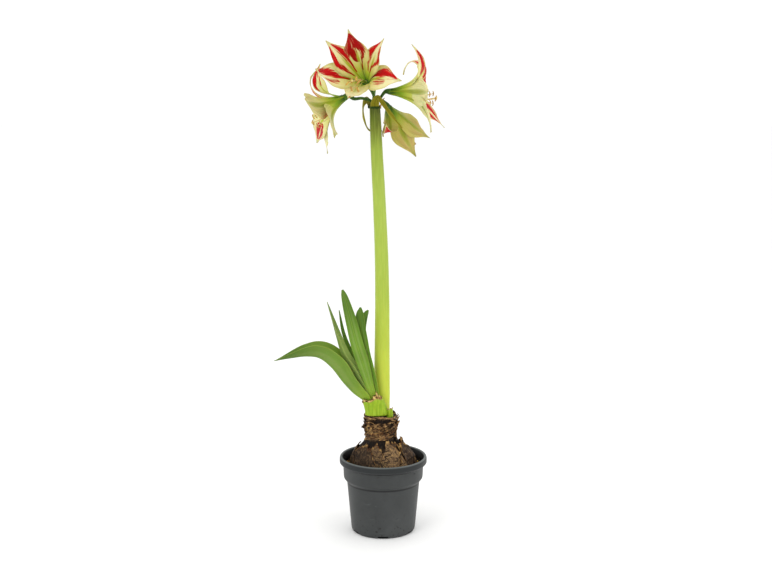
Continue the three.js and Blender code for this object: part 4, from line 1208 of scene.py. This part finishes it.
BLOOMS = {
    "front": dict(
        at=(-24, -4, 668.5), axis=(-0.2, -0.91, 0.36), foot=(0, -4.7), via=[(-13.5, -4, 652), (-18, 0, 661)],
        stamens=stamens(58, 20, -3, spread=8, bow=(0.1, 0.6, 1.15)),
        pale=0.6,
        tepals=[
            tepal(-10, 15, 12, 105, 19, dark=0.4), tepal(109, 56, 10, 98, 20.5),
            tepal(-110, 42, -36, 110, 21.5), tepal(55, 29, 10, 103, 16), tepal(-175, 44, -10, 92, 17),
            tepal(-57, 22, 10, 105, 19),
        ],
    ),
    "left": dict(
        at=(-56, -8, 648.5), axis=(-0.86, -0.12, -0.48), foot=(-4.7, -0.6),
        via=[(-30, -3, 648), (-42, -5.5, 647.5)],
        stamens=stamens(52, 11, 0, style=5),
        pale=0.6,
        tepals=[
            tepal(68, 66, 20, 98, 23, cup=0.004), tepal(-29, 91, 75, 84, 12), tepal(-137, 76, 4, 107, 12),
            tepal(12, 96, 45, 71, 10.5, funnel=40, twist=60), tepal(128, 82, -16, 80, 24, cup=0.006),
            tepal(-121, 71, 0, 106, 20),
        ],
    ),
    "right": dict(
        at=(11.5, -4, 657.5), axis=(0.985, -0.12, 0), foot=(4.6, -1), via=[(-3, 0, 650)],
        stamens=stamens(60, 12, 4, style=4),
        pale=0.95,
        tepals=[
            tepal(-46, 86, 32, 115, 7.5, twist=-50), tepal(70, 62, 60, 88, 17), tepal(-128, 70, 12, 117, 15),
            tepal(15, 48, 215, 106, 11.5, bend=0.35, cup=-0.035, twist=-34), tepal(136, 58, 0, 105, 14),
            tepal(-91, 50, 34, 90, 21, cup=0.006),
        ],
    ),
    "lower": dict(
        at=(7, 10, 635.5), axis=(0.29, 0.75, -0.59), foot=(3, 3.8), via=[(-4, 4.2, 646)],
        stamens=stamens(74, 10, -13),
        pale=0.1,
        tepals=[
            tepal(-84, 23, 5, 92, 19), tepal(186, 96, 130, 60, 12, bend=0.45), tepal(40, 12, 10, 88, 15),
            tepal(-139, 21, 5, 92, 18), tepal(92, 14, 10, 70, 13), tepal(-20, 12, 10, 90, 14),
        ],
    ),
}
OUTER_FOOT, INNER_FOOT = 5.1, 3.7
TEPAL_ROWS, TEPAL_COLUMNS, FINER = 90, 57, 4
LEAST_BOW = 0.002
TEPAL_THICKNESS, RIB_THICKNESS, GROOVE = (0.8, 0.5), 0.45, 0.45  # the first at the foot and at the tip
tepal_width = through([
    (0, 0.2), (0.15, 0.38), (0.3, 0.68), (0.44, 0.93), (0.55, 1), (0.65, 0.87), (0.74, 0.62), (0.82, 0.38),
    (0.9, 0.19), (0.96, 0.09), (1, 0.03),
])


def bloom_frame(bloom):
    """The foot of the tube, the way it points, and the two directions that a turn is measured from."""
    along = unit(bloom["axis"])
    uppermost = unit(np.array([0, 0, 1]) - along[2] * along)
    return np.array(bloom["at"], float), along, uppermost, np.cross(uppermost, along)


def tepal_angle(spec, v):
    opening = spec["funnel"] * smooth(v / 0.2 + 0.35)
    opening = opening + (spec["flare"] - spec["funnel"]) * smooth((v - 0.12) / 0.55)
    return np.radians(opening + spec["curl"] * smooth((v - spec["bend"]) / (1 - spec["bend"])))


# %% Flame table
# Each flame is its strength and then points (along, across, half-width): along runs from the tube to the tip,
# across from one margin at -1 through the rib at 0 to the other margin at 1.
SIDE_FLAME = [(0.22, 0.3, 0.06), (0.4, 0.36, 0.12), (0.6, 0.45, 0.26), (0.8, 0.5, 0.3), (0.93, 0.4, 0.12)]
BOTH_SIDES = [(1, *((along, side * across, half) for along, across, half in SIDE_FLAME)) for side in (-1, 1)]
FLAMES = {
    ("front", 0): [
        (1, (0.2, -0.12, 0.06), (0.4, -0.2, 0.08), (0.5, -0.3, 0.17), (0.6, -0.36, 0.36), (0.7, -0.42, 0.5),
         (0.9, -0.4, 0.5), (0.96, -0.3, 0.2)),
        (1, (0.2, 0.13, 0.06), (0.4, 0.25, 0.07), (0.5, 0.42, 0.12), (0.6, 0.52, 0.2), (0.7, 0.5, 0.45),
         (0.86, 0.4, 0.5), (0.94, 0.2, 0.2)),
        (1, (0.64, 0, 0.1), (0.74, 0, 0.3), (0.9, 0, 0.5), (0.96, 0, 0.2)),
    ],
    ("front", 1): [
        (1, (0.22, -0.25, 0.06), (0.34, -0.33, 0.07), (0.5, -0.42, 0.22), (0.7, -0.5, 0.36),
         (0.85, -0.58, 0.4), (0.94, -0.4, 0.15)),
        (0.5, (0.36, 0.2, 0.06), (0.5, 0.28, 0.28), (0.62, 0.3, 0.3), (0.72, 0.3, 0.08)),
    ],
    ("front", 2): [
        (1, (0.3, -0.03, 0.06), (0.46, 0, 0.07), (0.55, 0.12, 0.18), (0.63, 0.25, 0.32), (0.75, 0.4, 0.44),
         (0.87, 0.45, 0.45), (0.93, 0.4, 0.2)),
        (0.5, (0.5, -0.4, 0.06), (0.6, -0.42, 0.24), (0.72, -0.45, 0.26), (0.8, -0.5, 0.08)),
    ],
    ("front", 3): [
        (0.95, (0.22, -0.35, 0.06), (0.4, -0.52, 0.1), (0.55, -0.58, 0.2), (0.7, -0.66, 0.28),
         (0.85, -0.7, 0.3), (0.94, -0.5, 0.12)),
        (0.95, (0.22, 0, 0.06), (0.38, 0.06, 0.1), (0.5, 0.32, 0.13), (0.62, 0.6, 0.2), (0.76, 0.64, 0.28),
         (0.9, 0.5, 0.1)),
    ],
    ("front", 4): [(0.8, (0.84, 0.1, 0.1), (0.93, 0.1, 0.5), (0.98, 0.1, 0.3))],
    ("front", 5): [
        (1, (0.22, -0.4, 0.06), (0.36, -0.48, 0.08), (0.5, -0.52, 0.14), (0.65, -0.7, 0.2), (0.8, -0.8, 0.24),
         (0.93, -0.7, 0.12)),
        (1, (0.22, 0.18, 0.05), (0.4, 0.21, 0.09), (0.55, 0.28, 0.16), (0.68, 0.4, 0.26), (0.85, 0.5, 0.3),
         (0.94, 0.4, 0.12)),
    ],
    ("left", 3): [
        (1, (0.42, -0.7, 0.06), (0.54, -0.74, 0.16), (0.64, -0.66, 0.32), (0.78, -0.46, 0.5), (0.9, -0.3, 0.4),
         (0.96, -0.2, 0.12)),
        (1, (0.5, 0.1, 0.06), (0.65, 0.25, 0.08), (0.78, 0.45, 0.06)),
    ],
    ("left", 2): [],
    ("left", 5): [
        (1, (0.52, 0.1, 0.06), (0.61, 0.1, 0.26), (0.72, 0.12, 0.4), (0.84, 0.14, 0.42), (0.93, 0.1, 0.12)),
        (0.85, (0.52, -0.34, 0.06), (0.61, -0.42, 0.2), (0.72, -0.48, 0.26), (0.84, -0.52, 0.24),
         (0.91, -0.45, 0.08)),
        (1, (0.47, -0.2, 0.04), (0.54, -0.25, 0.2), (0.58, -0.3, 0.04)),
    ],
    ("right", 0): [
        (1, (0.42, 0.5, 0.2), (0.5, 0.45, 0.4), (0.6, 0.4, 0.42), (0.75, 0.25, 0.55), (0.86, 0.2, 0.6),
         (0.92, 0.3, 0.2)),
    ],
    ("right", 1): [(1, (0.3, -0.4, 0.3), (0.5, -0.3, 0.8), (0.8, -0.3, 0.8), (0.92, 0, 0.3))],
    ("right", 3): [
        (1, (0.42, -0.4, 0.08), (0.55, -0.45, 0.2), (0.7, -0.5, 0.28), (0.85, -0.4, 0.14)),
        (1, (0.42, 0.6, 0.2), (0.55, 0.6, 0.3), (0.7, 0.55, 0.3), (0.85, 0.4, 0.14)),
    ],
    ("lower", 1): [(1, (0.35, -0.2, 0.2), (0.5, 0, 0.7), (0.8, 0, 0.8), (0.93, 0, 0.3))],
}


def flames(share, v, strokes):
    """How red each point of a tepal is, from 0 to 1."""
    red = np.zeros(np.broadcast_shapes(share.shape, v.shape))
    for strength, *points in strokes:
        along, across, half = zip(*points)
        off = (share - through(list(zip(along, across)))(v)) / through(list(zip(along, half)))(v)
        span = smooth((v - along[0]) / 0.05) * smooth((along[-1] - v) / 0.05)
        red = np.maximum(red, strength * span * np.exp(-0.7 * off**2))
    return red


# %% Tepal sheets
def tepal_sheet(frame, spec, foot, strokes, pale):
    """One tepal as a thin closed sheet, its hollow face first."""
    base, along, uppermost, across = frame
    turn = math.radians(spec["turn"])
    out = uppermost * math.cos(turn) + across * math.sin(turn)

    def heading(ahead, aside):
        return np.outer(ahead, along) + np.outer(aside, out)

    v = np.linspace(0, 1, TEPAL_ROWS)
    steps = FINER * (TEPAL_ROWS - 1)
    fine = tepal_angle(spec, (np.arange(steps) + 0.5) / steps)
    moves = heading(np.cos(fine), np.sin(fine)) * spec["length"] / steps
    line = base + out * foot + np.vstack([np.zeros(3), np.cumsum(moves, axis=0)])[::FINER]
    angle = tepal_angle(spec, v)
    tangent = heading(np.cos(angle), np.sin(angle))
    face = heading(np.sin(angle), -np.cos(angle))
    side = np.cross(tangent, face)
    twist = np.radians(spec["twist"] * smooth((v - 0.15) / 0.5))[:, None]
    face, side = face * np.cos(twist) + side * np.sin(twist), side * np.cos(twist) - face * np.sin(twist)

    v, angle, face, side = v[:, None], angle[:, None], face[:, None], side[:, None]
    share = np.linspace(-1, 1, TEPAL_COLUMNS)[None, :]
    x = share * spec["half"] * tepal_width(v)
    radius = np.maximum(1, (line - base) @ out)[:, None]
    spread = smooth((v - 0.25) / 0.45)
    bow = np.maximum(LEAST_BOW, np.cos(angle) / radius) * (1 - spread) + spec["cup"] * spread
    bow = np.where(np.abs(bow) < LEAST_BOW, LEAST_BOW, bow)
    ripple = 1.2 * spread * share**2 * np.sin(9 * v + 2.4 * share + spec["turn"])
    crisp = 0.55 * spread * np.abs(share) ** 5 * np.sin(34 * v + 3 * share + spec["turn"])
    crisp = crisp * (1 - smooth((v - 0.8) / 0.15))
    groove = -GROOVE * np.exp(-((x / 1.5) ** 2)) * smooth((1 - v) / 0.3)
    sine, cosine = np.sin(bow * x)[..., None], np.cos(bow * x)[..., None]
    hollow = ((1 - np.cos(bow * x)) / bow + ripple + crisp + groove)[..., None]
    middle = line[:, None] + side * (sine / bow[..., None]) + face * hollow
    normal = face * cosine - side * sine
    rib = RIB_THICKNESS * np.exp(-((x / 1.3) ** 2)) * smooth((1.05 - v) / 0.5)
    depth = (mix(*TEPAL_THICKNESS, v) * (1 - 0.6 * share**2) / 2 + rib / 2)[..., None]
    marks = {"red": flames(share, v, strokes), "dark": spec["dark"], "pale": pale}
    made = sheet(middle + normal * depth, middle - normal * depth, **marks)
    flat = np.stack(np.broadcast_arrays((share + 1) / 2, v), axis=-1).reshape(-1, 2)
    return made | {"uv": np.tile(flat, (2, 1)), "inside": np.repeat([1.0, 0.0], len(flat))}


# %% Tepal finish
def make_tepal_finish():
    made, tree, shader = finish("striped tepal", 0.5, 0.12, (0.12, 1))
    along, middle = blade(tree)
    vein = grain(tree, sheet_place(tree, 30, 1.1), 2.0, 6, 0.62)
    streak = grain(tree, sheet_place(tree, 9, 1.1), 3.0, 3, 0.55, 0.1)
    inside, pale, mask = (marked(tree, name) for name in ("inside", "pale", "red"))

    cream = layered(
        tree, ramp(tree, along, (0.03, "#47860f"), (0.08, "#abdb22"), (0.22, "#d0de3c"), (0.4, "#dcd982"),
                   (0.85, "#e0dba8"), (1, "#b3a95c")),
        ("#e6e2b8", vein, 0.45, 0.62, 0.45), ("#b4ab5c", middle, 0.36, 0.5, 0.5),
    )
    rib = times(tree, remap(tree, middle, 0.08, 0.03), remap(tree, along, 0.75, 0.45), 0.9)
    cream = mixed(tree, rib, cream, "#a8b71c")
    red = ramp(tree, vein, (0.35, "#8a0205"), (0.5, "#be000b"), (0.68, "#da0a15"))
    red = mixed(tree, marked(tree, "dark"), red, "#5c0402")
    wild = number(tree, "MULTIPLY_ADD", number(tree, "SUBTRACT", streak, 0.5), 2.6, mask)
    flame = times(tree, remap(tree, wild, 0.22, 0.62), remap(tree, mask, 0.08, 0.3))
    hollow = mixed(tree, flame, cream, red)

    olive = ramp(tree, along, (0.02, "#284a10"), (0.12, "#5c7f1a"), (0.24, "#93a02c"), (0.4, "#b3a84a"),
                 (0.8, "#b8aa58"), (1, "#8f8a34"))
    light = ramp(tree, along, (0.02, "#2c5212"), (0.14, "#86a924"), (0.27, "#c6ca55"), (0.42, "#e0dc9c"),
                 (0.85, "#e6e1ae"), (1, "#b0a654"))
    back = layered(tree, mixed(tree, pale, olive, light), ("#757222", vein, 0.48, 0.64, 0.45))
    keel = times(tree, remap(tree, middle, 0.14, 0.04), remap(tree, along, 1.05, 0.5), 0.8)
    back = mixed(tree, keel, back, "#85921c")
    blush = times(tree, remap(tree, wild, 0.45, 0.9), remap(tree, along, 0.4, 0.65, 0, 0.3))
    blush = times(tree, blush, number(tree, "SUBTRACT", 1.0, pale))
    back = mixed(tree, blush, back, "#a8694e")
    both = layered(tree, back, (hollow, inside, 0.4, 0.6))
    paint(tree, shader, both, vein, 0.22, remap(tree, vein, 0.3, 0.7, 0.42, 0.6))
    return made


# %% [markdown]
# ## The stalks
# Each bloom hangs on a short green stalk that swells to the ovary and then to the foot of the tube. It is the
# stem tree again, with its radius drawn along the way.

# %% Stalks
STALK_FOOT, OVARY, TUBE = 2.1, 4.3, 5.2
PLUG, STALK_STEPS = 5, 60
stalk_radius = through([(0, STALK_FOOT), (0.55, STALK_FOOT + 0.3), (0.78, OVARY), (1, TUBE)])


def stalk_stroke(bloom):
    base, along, _, _ = bloom_frame(bloom)
    start = SCAPE_TOP + np.array([*bloom["foot"], 0.55])
    way = [start, start + (0, 0, 5), *bloom["via"], base - 8 * along, base, base + PLUG * along]
    return path(way, STALK_STEPS), stalk_radius(np.linspace(0, 1, STALK_STEPS + 1)), 0


tepal_finish = make_tepal_finish()
stalk_stops = [(0.3, "#203a0e"), (0.5, "#335416"), (0.7, "#517420")]
stalk_finish = grained(
    "green stalk", 0.45, 0.18, [(3, 3, 1), 90.0, 4, 0.6], stalk_stops,
    ("#56801c", "along", 0.75, 1.0, 0.8), ("#4a3018", "along", 0.12, 0.0, 0.5), depth=0.15, glow=(0.08, 2),
)
for name, bloom in BLOOMS.items():
    sheets = []
    for k, spec in enumerate(bloom["tepals"]):
        strokes = FLAMES.get((name, k), BOTH_SIDES)
        foot = OUTER_FOOT if k < 3 else INNER_FOOT
        sheets.append(tepal_sheet(bloom_frame(bloom), spec, foot, strokes, bloom["pale"]))
    tepals = piece(f"bloom_{name}_tepals", material=tepal_finish, **gathered(sheets))
    dress(tepals, "tepal", "bloom_" + name)
    dress(grow(f"bloom_{name}_stalk", drawn([stalk_stroke(bloom)]), stem_tree, stalk_finish, Sides=28), "tepal")

# %% [markdown]
# ## Stamens and style
# Six filaments and a longer style lie low in each bloom and lift their ends. They are many strokes of one
# curve, so the stem tree makes them in one go. Each anther is a pair of bowed pollen sacs, side by side, and
# the style ends in a knob of three short lobes.

# %% Stamens
FILAMENTS, FILAMENT_RADIUS, PEG_RADIUS = 6, 0.68, 2.3
ANTHER_LENGTH, SAC_RADIUS, ANTHER_LEAN = 8, 0.8, 0.7
LOBES, LOBE_RADIUS = 3, 0.75
THREAD_STEPS, LOBE_STEPS, SAC_STEPS = 24, 8, 14


def stamen_strokes(bloom):
    """The strokes of the filaments with the style's lobes, and those of the anthers' pollen sacs."""
    base, along, uppermost, across = bloom_frame(bloom)
    reach, droop, swing, style, spread, bow = bloom["stamens"].values()
    sacs, lobes = [], []

    def place(ahead, up, aside):
        return base + along * ahead + uppermost * up + across * aside

    def sideways(turn):
        return uppermost * math.cos(turn) + across * math.sin(turn)

    threads = [(np.array([place(PLUG - 3.4, 0, 0), place(PLUG + 2.5, 0, 0)]), PEG_RADIUS, 0)]
    for k in range(FILAMENTS + 1):
        last = k == FILAMENTS
        turn = math.pi * k / 3 + 0.4
        up, aside = (0, 0) if last else (math.cos(turn), math.sin(turn))
        length = reach + (style if last else 5 * math.sin(2.1 * k))
        way = [
            place(PLUG, 1.4 * up, 1.4 * aside),
            place(0.3 * length, 1.4 * up - bow[0] * droop, 1.96 * aside + 0.25 * swing),
            place(0.66 * length, 0.5 * spread * up - bow[1] * droop, 0.6 * spread * aside + 0.7 * swing),
            place(length, spread * up - bow[2] * droop, spread * aside + swing),
        ]
        taper = 1 - 0.25 * np.linspace(0, 1, THREAD_STEPS + 1)
        threads.append((path(way, THREAD_STEPS), FILAMENT_RADIUS * taper, 0))
        if last:
            for lobe in range(LOBES):
                lean = sideways(2 * math.pi * lobe / LOBES)
                ends = [way[-1] - along, way[-1] + along + lean * 0.9, way[-1] + along * 1.7 + lean * 1.6]
                knob = LOBE_RADIUS * np.sin(np.linspace(0.9, 2.7, LOBE_STEPS + 1))
                lobes.append((path(ends, LOBE_STEPS), knob, 0))
            continue
        lie = sideways(ANTHER_LEAN * math.sin(1.9 * k))
        beside = np.cross(along, lie)
        v = np.linspace(0.04, 0.96, SAC_STEPS + 1)
        girth = SAC_RADIUS * (0.25 + 0.75 * np.sin(math.pi * v) ** 0.6)
        for hand in (-1, 1):
            bowed = [
                way[-1] + lie * t * ANTHER_LENGTH / 2 + along * (1.2 * (1 - t * t) - 0.6) + beside * hand * 0.6
                for t in (-1, -0.5, 0, 0.5, 1)
            ]
            sacs.append((path(bowed, SAC_STEPS), girth, 0))
    return threads + lobes, sacs


filament_finish = grained(
    "pale filament", 0.4, 0.5, [(), 60.0, 3], [(0.0, "#a3bd45"), (0.35, "#d3d68c"), (1.0, "#e0cf8c")],
    ("#e9c9a4", "fine", 0.45, 0.7, 0.35), depth=0.05, by="along", glow=(0.15, 1),
)
pollen_finish = grained(
    "pollen", 0.9, 0.2, [(), 1400.0, 3, 0.7], [(0.35, "#a87c2e"), (0.55, "#cfa94c"), (0.75, "#e8d080")],
    ("#946430", ((), 120.0, 3), 0.42, 0.58, 0.5), depth=0.15, sheen=0.3,
)
for name, bloom in BLOOMS.items():
    threads, sacs = (drawn(strokes) for strokes in stamen_strokes(bloom))
    filaments = grow(f"stamens_{name}_filaments", threads, stem_tree, filament_finish, Sides=12)
    dress(filaments, "stamen", "stamens_" + name)
    anthers = grow(f"stamens_{name}_anthers", sacs, stem_tree, pollen_finish, Sides=16, Unevenness=0.0003)
    dress(anthers, "stamen")

# %% [markdown]
# ## The last bud
# One bud is still shut, behind the front bloom. Its tepals are wrapped round each other, which shows as three
# low seams. It is a swept tube whose outline is three-lobed rather than round, turning slowly towards the beak.

# %% Bud
BUD_NECK, BUD_AXIS = np.array([-15.0, 12, 666]), unit((-0.3, 0.8, 0.52))
BUD_LENGTH, BUD_RADIUS = 68, 10.5
BUD_ROWS, BUD_SIDES = 110, 72
bud_girth = through([(0, 0.2), (0.26, 0.22), (0.36, 0.44), (0.46, 0.52), (0.7, 1), (0.88, 0.66), (1, 0.08)])


def make_bud(material):
    start = SCAPE_TOP + np.array([-2.2, 4.4, 0.55])
    ahead = [BUD_NECK + BUD_AXIS * d for d in (-8, 0, 0.35 * BUD_LENGTH, BUD_LENGTH)]
    line = path([start, start + (0, 0, 5), *ahead], BUD_ROWS - 1)
    tangents = np.gradient(line, axis=0)
    tangents /= np.linalg.norm(tangents, axis=1)[:, None]
    side = unit(np.cross(tangents[0], (1, 0, 0)))
    v = np.linspace(0, 1, BUD_ROWS)
    turn = circle(BUD_SIDES)
    rings = []
    for at, tangent, level in zip(line, tangents, v):
        side = unit(side - tangent * (side @ tangent))
        seam = np.abs(np.sin(1.5 * (turn + 1.2 * level))) ** 0.35
        r = BUD_RADIUS * bud_girth(level) * (1 - 0.16 * smooth((level - 0.45) / 0.2) * (1 - seam))
        up = np.cross(tangent, side)
        rings.append(at + np.outer(r * np.cos(turn), side) + np.outer(r * np.sin(turn), up))
    return swept("bud_closed", rings, line[[0, -1]], material, along=np.append(np.repeat(v, BUD_SIDES), [0, 1]))


bud_stops = [(0.3, "#55822c"), (0.5, "#a9b765"), (0.8, "#c8c88c"), (1.0, "#8fa64a")]
bud_finish = grained(
    "closed bud", 0.45, 0.5, [(2.4, 0.6, 1.2), 90.0, 5, 0.6], bud_stops, ("#7d9a38", "fine", 0.42, 0.62, 0.45),
    ("#a4624a", "fine", 0.62, 0.74, 0.4), depth=0.2, by="along", glow=(0.12, 3),
)
dress(make_bud(bud_finish), "bud", "bud")

# %% [markdown]
# ## Measure
# The finished model must fill the same box as the imported solids, so both boxes are kept. The last line
# gives both of them.

# %% Size
visual_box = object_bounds()


def plain(value):
    """The same numbers as plain lists."""
    return float(value) if isinstance(value, (int, float)) else [plain(part) for part in value]


{"cad": plain(cad_box), "visual": plain(visual_box)}
print("cad box", plain(cad_box))
print("visual box", plain(visual_box))
